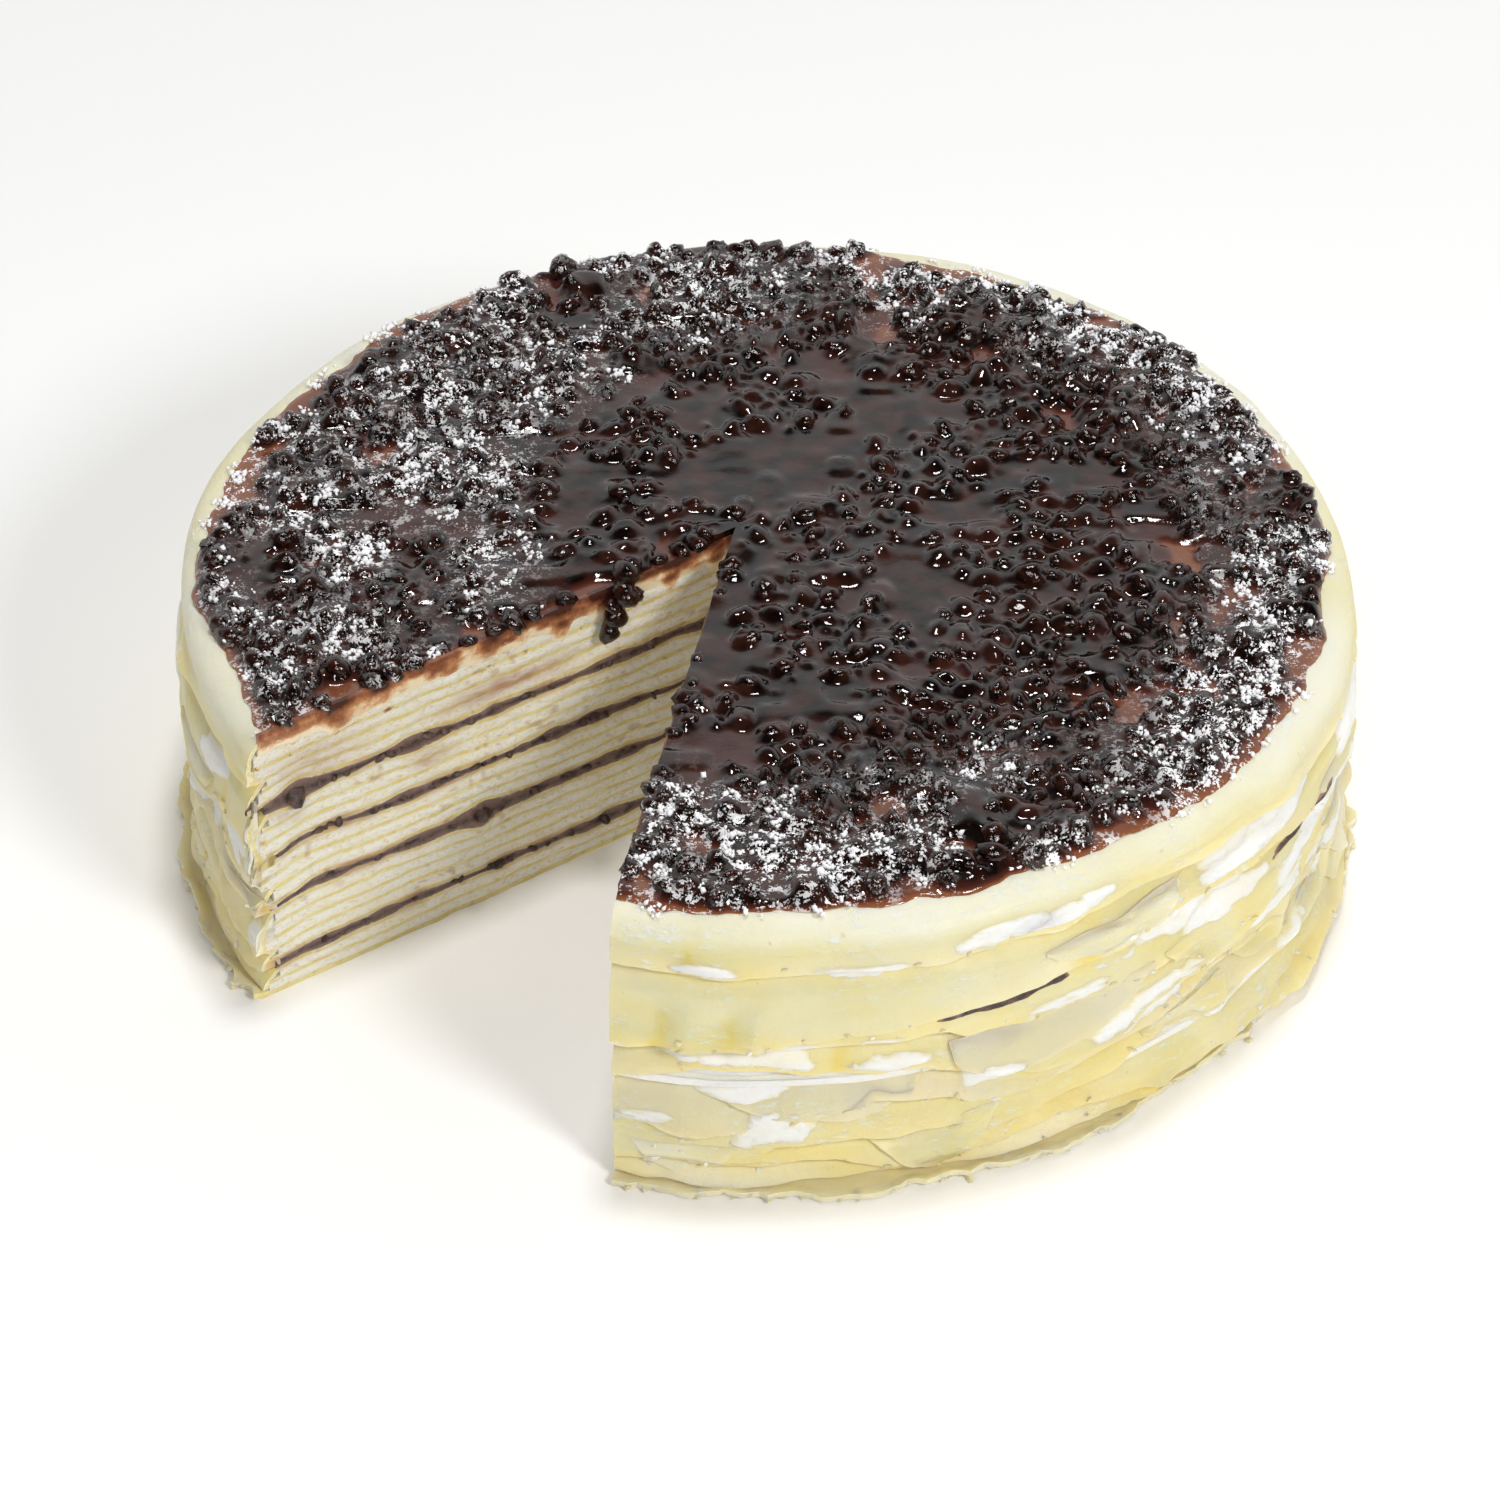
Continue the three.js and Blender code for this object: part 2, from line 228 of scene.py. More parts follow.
def bean_swelling(number, x, y):
    radius = np.hypot(x, y)
    swelling = 1.5 * noise(x / 13, y / 13, number * 7.3, 31) + 1.2 * noise(x / 4.5, y / 4.5, number * 3.1, 32)
    for layer, along, amount in CUT_BEANS:
        if layer == number:
            spot = TIP + along * direction_of(LAST_CUT)
            swelling = swelling + amount * np.exp(-((x - spot[0]) ** 2 + (y - spot[1]) ** 2) / 14)
    return np.maximum(swelling - 0.4 - 1.6 * ease(97, 103, radius), -2.1)


def stack_height(flat, x, y):
    """Where a flat height of the stack lies above the point x, y."""
    flat, x, y = np.broadcast_arrays(*(np.asarray(part, dtype=float) for part in (flat, x, y)))
    radius = np.hypot(x, y)
    spoke = np.stack([x, y], axis=-1) - TIP
    length = np.maximum(np.linalg.norm(spoke, axis=-1), 1e-6)
    share = np.clip(length / reach(spoke / length[..., None], CAKE_RADIUS), 0, 1)
    belly = np.sin(np.pi * np.clip(flat / STACK_HEIGHT, 0, 1))
    wave = ripple(bearing(x, y), 1, [2, 3])
    height = flat - TIP_DIP * belly * (1 - share) + RIM_WAVE * wave * belly * share
    height = height - RIM_SAG * belly * ease(97, 108, radius)
    loose = np.minimum(1, np.minimum(flat / 9, (STACK_HEIGHT - flat) / 5))
    for amount, across, upright, seed in SAG_NOISE:
        height = height + loose * amount * noise(x / across, y / across, flat / upright, seed)
    for number, middle in enumerate(bean_middles):
        t = (flat - middle) / SWELL_REACH
        height = height + bean_swelling(number, x, y) * t / (1 + t * t) ** 2
    return height


def on_level(flat, level):
    """Points in space that lie on a level of the sagging stack."""
    return raised(flat, stack_height(level, *flat.T))


sample = on_ray(direction_of(np.array([LAST_CUT])), np.array([80.0]))[0]
print("bean layers at 80 mm on the left cut lie",
      [round(float(stack_height(middle, *sample)), 1) for middle in bean_middles])

# %% [markdown]
# ## Meshes from arrays
# Every piece starts as arrays of points and lists of faces. This helper makes the Blender mesh, stores soft
# values such as stains on its points, gives each face its finish, lets the piece ride on the cake's body, and
# hides the CAD nodes that it takes the place of.

# %% Making a piece
piece_sizes = {}


def mesh_object(name, points, faces, finishes, face_finish=None, values=None, crease=40):
    """A smooth-shaded Blender object from points in millimetres."""
    mesh = bpy.data.meshes.new(name)
    mesh.from_pydata((np.asarray(points) * MM).tolist(), [], faces)
    for finish in finishes:
        mesh.materials.append(finish)
    if face_finish is not None:
        mesh.polygons.foreach_set("material_index", np.asarray(face_finish, dtype=np.int32))
    for label, numbers in (values or {}).items():
        layer = mesh.attributes.new(label, "FLOAT", "POINT")
        layer.data.foreach_set("value", np.asarray(numbers, dtype=np.float32))
    mesh.shade_smooth()
    mesh.set_sharp_from_angle(angle=np.radians(crease))
    mesh.update()
    made = bpy.data.objects.new(name, mesh)
    bpy.context.scene.collection.objects.link(made)
    piece_sizes[name] = sum(len(face) - 2 for face in faces)
    return made


def dress(piece, slot, *nodes):
    """The piece rides on the cake and, where nodes are named, hides them."""
    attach(piece, "root")
    if nodes:
        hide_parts(*nodes)


# %% [markdown]
# ## Finishes: a small vocabulary
# The finishes are node trees made in code. `wire` makes one node and joins its inputs in a single line, and
# `paint` turns given colours into the linear values that shaders want. Fine grain that is smaller
# than the mesh, such as pores in the cream, is bump; everything larger is real shape.

# %% Helpers for finishes


def paint(red, green, blue):
    """Linear colour from 0 to 255 screen values."""
    channels = np.array([red, green, blue]) / 255
    linear = np.where(channels <= 0.04045, channels / 12.92, ((channels + 0.055) / 1.055) ** 2.4)
    return (*linear.tolist(), 1.0)


def wire(tree, kind, inputs=None, **settings):
    """Adds a node; inputs that are sockets are linked, others are set as numbers."""
    made = tree.nodes.new(kind)
    for label, value in settings.items():
        setattr(made, label, value)
    for label, value in (inputs or {}).items():
        if isinstance(value, bpy.types.NodeSocket):
            tree.links.new(value, made.inputs[label])
        else:
            made.inputs[label].default_value = value
    return made


def grain(tree, size, detail=3.0, roughness=0.55, stretch=(1, 1, 1)):
    """Noise from 0 to 1 with blobs of about the given size in millimetres."""
    place = wire(tree, "ShaderNodeTexCoord").outputs["Object"]
    scaled = wire(tree, "ShaderNodeMapping", {"Vector": place, "Scale": stretch}).outputs["Vector"]
    return wire(tree, "ShaderNodeTexNoise", {"Vector": scaled, "Scale": 1 / (size * MM), "Detail": detail,
                                             "Roughness": roughness}).outputs["Fac"]


def between(tree, value, low, high, start=0.0, end=1.0):
    """Stretches low..high to start..end and clamps it."""
    inputs = {"Value": value, "From Min": low, "From Max": high, "To Min": start, "To Max": end}
    return wire(tree, "ShaderNodeMapRange", inputs).outputs["Result"]


def blend(tree, amount, first, second):
    """Mixes two colours by an amount from 0 to 1."""
    inputs = {0: amount, 6: first, 7: second}
    return wire(tree, "ShaderNodeMix", inputs, data_type="RGBA").outputs[2]


def times(tree, first, second):
    return wire(tree, "ShaderNodeMath", {0: first, 1: second}, operation="MULTIPLY").outputs[0]


def plus(tree, first, second):
    return wire(tree, "ShaderNodeMath", {0: first, 1: second}, operation="ADD").outputs[0]


def stored(tree, label):
    """A value that the mesh carries on its points."""
    return wire(tree, "ShaderNodeAttribute", attribute_name=label).outputs["Fac"]


def bumpy(tree, height, strength, distance):
    """Normals from a height, with the distance in millimetres."""
    inputs = {"Height": height, "Strength": strength, "Distance": distance * MM}
    return wire(tree, "ShaderNodeBump", inputs).outputs["Normal"]


def new_finish(name, build):
    """A material whose surface comes from the inputs that build returns."""
    finish = bpy.data.materials.new(name)
    finish.use_nodes = True
    tree = finish.node_tree
    tree.nodes.clear()
    surface = wire(tree, "ShaderNodeBsdfPrincipled", build(tree))
    wire(tree, "ShaderNodeOutputMaterial", {"Surface": surface.outputs["BSDF"]})
    return finish


# %% [markdown]
# ### Crepe
# A cooked crepe is pale butter yellow and slightly see-through. Each one has its own `tone` from ivory
# through yellow to beige, and wiped cream lies on it in streaks. Shade is painted in as a stronger yellow in
# hollows, in dents and under the hems of covering sheets. Tone and this painted shade are stored on the mesh.
# Brown freckles come from the pan. On a cut edge, `veil` holds the cream that the knife drew over it.

# %% Crepe finishes


def crepe_side(tree):
    tone = stored(tree, "tone")
    fine = grain(tree, 3.0, 4, 0.6)
    colour = blend(tree, between(tree, tone, 0.0, 0.5), paint(246, 237, 207), paint(237, 217, 148))
    colour = blend(tree, between(tree, tone, 0.5, 1.0), colour, paint(229, 214, 176))
    colour = blend(tree, between(tree, grain(tree, 22, 3), 0.45, 0.7, 0, 0.4), colour, paint(243, 231, 194))
    streaky = between(tree, grain(tree, 3.2, 4, 0.7, (1, 1, 3)), 0.52, 0.66)
    wiped = between(tree, grain(tree, 17, 2), 0.46, 0.6)
    residue = times(tree, streaky, wiped)
    colour = blend(tree, times(tree, residue, 0.75), colour, paint(246, 243, 230))
    # Painted shade: a stronger yellow in hollows, in dents and under the hems of covering sheets, as the mesh
    # stores it
    colour = blend(tree, stored(tree, "fold"), colour, paint(237, 208, 104))
    freckle = between(tree, grain(tree, 1.7, 1.0), 0.76, 0.8)
    colour = blend(tree, times(tree, freckle, 0.3), colour, paint(196, 150, 84))
    height = plus(tree, times(tree, fine, 1.6), residue)
    return {"Base Color": colour, "Roughness": between(tree, fine, 0.3, 0.7, 0.38, 0.6),
            "Normal": bumpy(tree, height, 0.45, 0.4), "Subsurface Weight": 0.4,
            "Subsurface Radius": (0.005, 0.0035, 0.0012), "Subsurface Scale": 1.0}


def crepe_cut(tree):
    cloudy = between(tree, grain(tree, 6, 3), 0.35, 0.7)
    colour = blend(tree, cloudy, paint(242, 222, 150), paint(234, 204, 112))
    creamy = between(tree, grain(tree, 1.8, 3, 0.6, (1, 1, 2.5)), 0.5, 0.62)
    colour = blend(tree, times(tree, creamy, 0.35), colour, paint(248, 242, 220))
    patchy = between(tree, grain(tree, 1.3, 3, 0.6, (1, 1, 2)), 0.3, 0.7, -0.5, 0.2)
    wiped = plus(tree, stored(tree, "veil"), patchy)
    colour = blend(tree, between(tree, wiped, 0.2, 0.75), colour, paint(248, 241, 216))
    browned = between(tree, grain(tree, 2.2, 3, 0.7), 0.58, 0.7)
    colour = blend(tree, times(tree, browned, stored(tree, "browned")), colour, paint(168, 104, 46))
    colour = blend(tree, stored(tree, "stain"), colour, paint(168, 112, 80))
    height = grain(tree, 1.0, 3, 0.6)
    return {"Base Color": colour, "Roughness": 0.6, "Normal": bumpy(tree, height, 0.5, 0.3),
            "Subsurface Weight": 0.35, "Subsurface Radius": (0.004, 0.003, 0.001), "Subsurface Scale": 1.0}


crepe_finish = new_finish("crepe skin", crepe_side)
crepe_cut_finish = new_finish("cut crepe edge", crepe_cut)

# %% [markdown]
# ### Whipped cream
# Cream is nearly white and matt. Where the knife went through, it is dragged into small pits and streaks,
# slightly warmer in colour, and stained brown where glaze or beans were drawn across it.

# %% Cream finishes


def cream_smear(tree):
    fine = grain(tree, 1.6, 4, 0.65, (1, 1, 2))
    cloudy = between(tree, grain(tree, 9, 3), 0.4, 0.7)
    colour = blend(tree, cloudy, paint(249, 247, 241), paint(245, 241, 226))
    colour = blend(tree, stored(tree, "veil"), colour, paint(239, 226, 172))
    return {"Base Color": colour, "Roughness": 0.62, "Normal": bumpy(tree, fine, 0.6, 0.5),
            "Subsurface Weight": 0.4, "Subsurface Radius": (0.004, 0.0035, 0.0025), "Subsurface Scale": 1.0}


def cream_cut(tree):
    pores = grain(tree, 1.1, 4, 0.7, (1, 1, 1.8))
    cloudy = between(tree, grain(tree, 7, 3), 0.4, 0.7)
    colour = blend(tree, cloudy, paint(252, 247, 231), paint(250, 241, 214))
    # Painted shade: the pits of the bump are painted darker and yellower
    colour = blend(tree, between(tree, pores, 0.48, 0.34), colour, paint(234, 216, 166))
    colour = blend(tree, stored(tree, "stain"), colour, paint(176, 122, 92))
    return {"Base Color": colour, "Roughness": 0.75, "Normal": bumpy(tree, pores, 0.8, 0.6),
            "Subsurface Weight": 0.3, "Subsurface Radius": (0.003, 0.0025, 0.0015), "Subsurface Scale": 1.0}


cream_finish = new_finish("whipped cream", cream_smear)
cream_cut_finish = new_finish("cut cream", cream_cut)

# %% [markdown]
# ### Bean filling
# Cooked beans are crushed into a paste with bits of dark skin. It is moist, so it is a little glossy, and its
# colour runs from purple brown to nearly black.

# %% Bean filling finish


def bean_paste(tree):
    skins = grain(tree, 1.8, 4, 0.65)
    colour = blend(tree, between(tree, skins, 0.4, 0.62), paint(40, 30, 28), paint(104, 80, 70))
    colour = blend(tree, between(tree, grain(tree, 5, 2), 0.5, 0.75), colour, paint(64, 44, 40))
    colour = blend(tree, stored(tree, "veil"), colour, paint(158, 128, 118))
    return {"Base Color": colour, "Roughness": between(tree, skins, 0.3, 0.7, 0.35, 0.65),
            "Normal": bumpy(tree, skins, 0.8, 0.6)}


paste_finish = new_finish("bean paste", bean_paste)
print("finishes so far:", [finish.name for finish in bpy.data.materials if finish.use_nodes][-5:])

# %% [markdown]
# ## The drooping edges
# Every second or third crepe is wider than the stack, and its edge hangs down the side over the layers below,
# like a shingle on a wall. Real cloth-like drape would need a simulation for every sheet. It is simpler, and
# gives the same look, to lay the edges on from the bottom up: `envelope` remembers how far out everything
# already reaches at each column and level, and each new edge is draped over it, one thickness further out.

# %% The envelope of the side
LEVEL_STEP = 0.5
LEVELS = np.arange(-2, 64, LEVEL_STEP)
SHEET = 0.85
STACK_INSET = 4.0
envelope = np.repeat((side_radius - STACK_INSET)[:, None], len(LEVELS), axis=1)
column_mm = np.radians(turns) * CAKE_RADIUS


def envelope_at(heights):
    """How far out the side reaches at the given heights, one row of heights for each column."""
    place = np.clip((heights - LEVELS[0]) / LEVEL_STEP, 0, len(LEVELS) - 1.001)
    low = place.astype(int)
    part = place - low
    column = np.arange(COLUMNS)[:, None]
    return envelope[column, low] * (1 - part) + envelope[column, low + 1] * part


def level_index(heights):
    """Nearest level of the envelope for each height."""
    return np.clip(((heights - LEVELS[0]) / LEVEL_STEP).round().astype(int), 0, len(LEVELS) - 1)


def smoothed(grid, passes, axes=(0, 1)):
    """Softens a grid along its columns and rows, and keeps its borders in place."""
    for _ in range(passes):
        for axis in axes:
            grid = np.swapaxes(grid, 0, axis)
            padded = np.concatenate([grid[:1], grid, grid[-1:]])
            grid = np.swapaxes((padded[:-2] + 2 * padded[1:-1] + padded[2:]) / 4, 0, axis)
    return grid


def grow_envelope(radius, heights):
    """Adds a draped sheet, with its heights falling along each column, to the envelope."""
    for column in range(COLUMNS):
        rows = heights[column][::-1]
        covered = (LEVELS >= rows[0]) & (LEVELS <= rows[-1])
        draped = np.interp(LEVELS[covered], rows, radius[column][::-1])
        envelope[column, covered] = np.maximum(envelope[column, covered], draped)


# %% [markdown]
# The CAD model says how far down each edge hangs. To that the photo adds raggedness at three scales: long
# swings of several millimetres, a wavy hem, and small nicks. The crepe on the widest band stays smooth, with
# two upright dents near the cut, and its hem climbs to the right.

# %% Hems of the drooping crepes
# number of the crepe: height of its lower edge, raggedness in the CAD, extra swing and nicks in the finish
DROOPS = {
    3: (2.1, 0.6, 0.5, 0.5),
    5: (4.2, 1.8, 1.8, 0.7),
    8: (10.0, 2.4, 2.8, 0.6),
    10: (17.5, 2.4, 2.6, 0.6),
    13: (25.5, 2.4, 2.4, 0.5),
    16: (32.5, 2.0, 2.4, 0.5),
    19: (36.5, 1.8, 0.6, 0.35),
    22: (50.5, 1.2, 0.6, 0.35),
}
TOP_CREPE = max(DROOPS)
BAND_CREPE = 19
# Bumps and notches in single hems: crepe, direction, spread, height
HEM_SHAPES = [
    (19, 318, 22, 7.5), (19, 257, 4, -1.5), (19, 272, 8, -1.0), (16, 268, 10, 1.5), (16, 330, 9, -3.0),
    (13, 266, 9, 3.0), (13, 300, 10, -4.0), (10, 262, 7, -2.0), (10, 312, 12, 4.0), (8, 285, 9, -1.5),
    (8, 320, 10, 3.0), (5, 285, 7, -2.0), (5, 300, 9, 3.5), (5, 262, 6, 2.5), (13, 200, 9, 3.5),
    (16, 190, 8, -3.0),
]
# Dents pressed into one band: crepe, direction, spread, depth
DENTS = [
    (19, 259.4, 1.1, 2.4), (19, 265.8, 1.1, 2.2), (19, 300, 2.5, 0.5), (13, 276, 1.2, 0.9),
    (22, 262, 0.8, 0.7), (19, 205, 1.2, 1.0), (16, 196, 1.0, 0.9), (13, 187, 1.4, 0.9),
    (19, 30, 1.0, 1.0), (16, 78, 1.2, 0.9), (13, 120, 1.2, 0.8), (19, 145, 0.9, 1.1),
]


def hem_height(number):
    """Height of a crepe's ragged lower edge, for every column."""
    low, ragged, swing, nicks = DROOPS[number]
    hem = low + ragged * ripple(turns, number, [5, 9, 16])
    hem = hem + swing * noise(column_mm / 45, number * 5.1, 0, 41)
    hem = hem + nicks * rough(column_mm / 7, number * 3.3, 0, 42)
    hem = hem + nicks * 1.2 * np.maximum(0, noise(column_mm / 3.2, number, 0, 43) - 0.3)
    hem = hem + 0.55 * swing * np.tanh(7 * noise(column_mm / 17, number * 2.9, 0, 49))
    for crepe, angle, spread, height in HEM_SHAPES:
        if crepe == number:
            hem = hem + height * hump(turns, angle, spread)
    return np.maximum(hem, 1.6)


def wrinkles(number, heights):
    """Soft folds and fine creases of a hanging edge."""
    across = column_mm[:, None]
    calm = 0.5 if number == BAND_CREPE else 1.0
    folds = 0.8 * calm * noise(across / 16, heights / 9 + across / 60, number, 44)
    creases = 0.55 * calm * rough(across / 8, heights / 2.8 + across / 22, number, 45, 2)
    puckers = 0.16 * noise(across / 3, heights / 1.6, number, 46)
    return folds + creases + puckers


# %% [markdown]
# An edge is a grid: one column for each ray, and rows from the bend down to the hem. The upper rows turn
# smoothly out of the stack. Lower down, the sheet takes the larger of its own free shape and the envelope, is
# softened, and flares a little at the hem, so that a thin shadow lies under it.

# %% Rims and bends
DROOP_ROWS = 17
BEND_INSET = 3.6
BEND_FALL = 5.5
BAND_BULGE = 1.1
DENT_LEAN = 0.12
ROLL_WIDTH, ROLL_FALL = 8, 5.5


def dent_place(heights, hem, tallness):
    """Directions as seen by the leaning dents, and how strong the dents are at each height."""
    above = heights - hem[:, None]
    return turns[:, None] - above * DENT_LEAN, np.exp(-((above - 2) / tallness) ** 2)


def rim_roll(degrees):
    """Size of the rim's roll: 1 in front, tighter at the back and on the left."""
    return 1 - 0.4 * ease(-0.35, 0.5, np.sin(np.radians(np.asarray(degrees) - 25)))


def top_profile():
    """Inset and drop of the top crepe's rolled rim, for every column and row from the inside out."""
    flat = [(inset, 0.0) for inset in np.linspace(15, ROLL_WIDTH + 0.4, 5)]
    turn = [(ROLL_WIDTH * (1 - np.sin(angle)), ROLL_FALL * (1 - np.cos(angle)))
            for angle in np.radians(np.linspace(0, 90, 9))]
    inset, drop = np.array(flat + turn).T
    return inset * rim_roll(turns)[:, None], drop * rim_roll(turns)[:, None]


def rolled_edge(layer, hem, part):
    """The top crepe over its rolled rim and down: heights, free radii, and how loosely each point hangs."""
    inset, fall = top_profile()
    rim, angle = side_radius[:, None] - inset, np.radians(turns)[:, None]
    rim_heights = layer["high"] - fall
    rim_heights += 0.22 * noise(rim * np.cos(angle) / 9, rim * np.sin(angle) / 9, 0, 47)
    drop = rim_heights[:, -1:] + (hem[:, None] - rim_heights[:, -1:]) * part[:, 1:]
    heights = np.concatenate([rim_heights, drop], axis=1)
    free = np.concatenate([rim, np.repeat(side_radius[:, None], DROOP_ROWS - 1, axis=1)], axis=1)
    return heights, free, ease(1.5, 6, layer["high"] - heights)


def bent_edge(layer, hem, top, part):
    """The same for a crepe whose edge comes out of the stack and bends down."""
    heights = top[:, None] + (hem - top)[:, None] * part ** 0.9
    fallen = top[:, None] - heights
    free = side_radius[:, None] - BEND_INSET * (1 - np.clip(fallen / BEND_FALL, 0, 1)) ** 2
    free = free + (BAND_BULGE * ease(1, 5, fallen) if layer["number"] == BAND_CREPE else 0)
    return heights, free, ease(0.3, 4, fallen)


def push_rim(radius):
    """Moves the rolled rim out with the side below it, so that the two stay joined."""
    inset = top_profile()[0]
    push = np.maximum(radius[:, inset.shape[1] + 2] - side_radius, 0)
    push = smoothed(push[:, None], 6, (0,))
    radius[:, :inset.shape[1]] = side_radius[:, None] - inset + push * np.clip(1 - inset / 9, 0, 1) ** 1.5


tightest_roll = ROLL_WIDTH * float(rim_roll(turns).min())
print("the rim rolls over", ROLL_WIDTH, "mm in front, and over", round(tightest_roll, 1), "mm at the back")

# %% [markdown]
# One edge takes its free shape, its dents and its wrinkles, and is then pushed out over the envelope. The
# radius of the ground under it is kept too, because the loose hem is closed against it.

# %% Draping one edge


def drape(number):
    """Radii and heights of one hanging edge, from the bend down, its hem, and the ground under it."""
    layer = by_name[f"crepe_{number:02d}"]
    hem = hem_height(number)
    part = np.linspace(0, 1, DROOP_ROWS)[None, :]
    if number == TOP_CREPE:
        heights, free, hang = rolled_edge(layer, hem, part)
    else:
        bend_points = on_ray(rays, side_radius - BEND_INSET)
        top = stack_height(layer["high"], *bend_points.T)
        hem = np.minimum(hem, top - 2.0)
        heights, free, hang = bent_edge(layer, hem, top, part)
    seen_from, strong = dent_place(heights, hem, 6)
    for crepe, angle, spread, depth in DENTS:
        if crepe == number:
            free = free - depth * hump(seen_from, angle, spread) * strong
            free = free + 0.6 * depth * hump(seen_from, angle + 2.2 * spread, spread) * strong
    radius = free + wrinkles(number, heights) * hang
    radius = np.maximum(radius, envelope_at(heights) + SHEET)
    radius = np.where(hang > 0, smoothed(radius, 2), radius)
    radius = np.maximum(radius, np.where(hang > 0.2, envelope_at(heights) + 0.6 * SHEET, 0))
    if number == TOP_CREPE:
        push_rim(radius)
    flare = 1.3 * np.maximum(0, noise(column_mm / 11, number, 0, 48)) + 0.1
    if number <= 5:
        flare = flare + 2.2 * hump(turns, 338, 14)
    radius = radius + flare[:, None] * np.exp((hem[:, None] - heights) / 1.5) * hang
    ground = np.where(hang > 0.5, envelope_at(heights) - 0.1, np.inf)
    return radius, heights, hem, ground


# %% [markdown]
# ## Closing a layer
# One builder serves both the covered layers and the drooping crepes. A layer has an upper and a lower grid of
# rows for each column, which start where the plain inside ends. Many-sided faces close the hidden inside. The
# two cut faces are strips of small squares, from the tip outwards, and get real relief: cream stands a little
# proud in smears, and crepes are drawn back. Behind each cut runs a narrow strip, so that no large face ends
# in the plane of the cut, where its long thin triangles would show as dark slits.

# %% Closed layers
CUT_STEPS = 116
CUT_ROWS = 4
CAP_SECTORS = 7
CAP_INSET = 2.5
SKIN_FINISH, CUT_FINISH = 0, 1
cut_directions = {"first": direction_of(FIRST_CUT), "last": direction_of(LAST_CUT)}
cut_outward = {"first": direction_of(FIRST_CUT - 90), "last": direction_of(LAST_CUT + 90)}


def cut_relief(kind, along, height, side, middle):
    """How far a cut face stands out of the cut's plane; middle runs from 0 at a layer's borders up to 1."""
    u = along + (400.0 if side == "first" else 0.0)
    drag = 0.22 * noise(u / 5, height / 2.6, 0, 53) + 0.08 * noise(u / 1.6, height / 2.2, 0, 51)
    if kind == "crepe":
        own = -0.12 + 0.1 * noise(u / 1.4, height / 0.9, 0, 52)
    elif kind == "cream":
        own = 0.12 + 0.3 * rough(u / 1.5, height / 0.9, 0, 54, 2)
    else:
        lumps = 0.7 * np.maximum(0, noise(u / 2.2, height / 1.9, 0, 55))
        own = lumps + 0.5 * noise(u / 1.1, height / 0.9, 0, 56) - 0.1
    return (drag + own * middle) * ease(0.4, 3, along)


# Brown stains on the left-hand cut: distance from the tip, height, half length, half height, strength
STAINS = [
    (52, 48.6, 15, 2.6, 0.75), (94, 49.5, 12, 5.0, 0.42), (70, 39.5, 5, 2.4, 0.5), (30, 44.5, 10, 1.4, 0.3),
    (101, 41, 4, 3, 0.4), (15, 53, 9, 1.5, 0.25),
]
# The right-hand cut has the first three, nearer to the rim, lower and weaker
FIRST_CUT_STAINS = [(at * 0.8 + 12, level - 3, length, half, strength * 0.7)
                    for at, level, length, half, strength in STAINS[:3]]


def stain_at(along, height, side, x, y):
    """Brown stains: blots on the cut, and a halo that bleeds out of the bean layers."""
    blots = np.zeros(np.shape(along))
    for at, level, length, half, strength in (STAINS if side == "last" else FIRST_CUT_STAINS):
        far = ((along - at) / length) ** 2 + ((height - level) / half) ** 2
        torn = 1 + 0.7 * rough(along / 3, height / 0.9, 0, 57)
        blots = np.maximum(blots, strength * np.exp(-far * 1.2) * torn)
    spots = ease(0.52, 0.7, noise(along / 1.3, height / 1.1, 0, 58))
    spots = spots * ease(0.1, 0.6, noise(along / 14, height / 6, 3, 59))
    halo = np.zeros(np.shape(along))
    for middle in bean_middles:
        away = np.abs(height - stack_height(middle, x, y)) - BEANS / 2
        bleeding = 0.7 + 0.6 * noise(along / 5, middle, 0, 60)
        halo = np.maximum(halo, 0.75 * bleeding * np.exp(-np.maximum(away, 0) / 0.6))
    return np.clip(np.maximum(np.maximum(blots, halo), 0.5 * spots), 0, 1)


def cut_lines(layer, side, far):
    """Upper and lower line of a cut from the tip to the rim, and the same lines a little behind the cut."""
    flat = TIP + np.linspace(0, far, CUT_STEPS + 1)[1:-1, None] * cut_directions[side]
    behind = np.vstack([TIP, flat]) - CAP_INSET * cut_outward[side]
    return [[on_level(line, layer[edge]) for edge in ("high", "low")] for line in (flat, behind)]


def carve_cuts(layer, points, walls):
    """Gives the cut faces their relief, and returns every point's stain and nearness to a layer's border."""
    stain, border = np.zeros(len(points)), np.zeros(len(points))
    across = np.arange(CUT_ROWS + 1) / CUT_ROWS
    for side, wall in walls.items():
        index = wall[:, 1:].ravel()
        thickness = points[wall[0, 1:], 2] - points[wall[-1, 1:], 2]
        fullness = np.clip((thickness - 0.2) / (layer["high"] - layer["low"]), 0, 1)
        middle = (np.sin(np.pi * across)[:, None] * fullness).ravel()
        along = (points[index, :2] - TIP) @ cut_directions[side]
        relief = cut_relief(layer["kind"], along, points[index, 2], side, middle)
        relief = relief * np.where(along > CAKE_RADIUS - 6, 0.5, 1.0)
        points[index, :2] += relief[:, None] * cut_outward[side]
        stain[index] = stain_at(along, points[index, 2], side, points[index, 0], points[index, 1])
        border[index] = np.repeat(np.abs(2 * across - 1), wall.shape[1] - 1)
    return stain, border


# %% [markdown]
# The faces follow a fixed order, so that all of them look outwards: the two cuts, the upper and the lower
# grid, the narrow rim, and at last the strips and the many-sided faces of the hidden inside.

# %% One closed layer


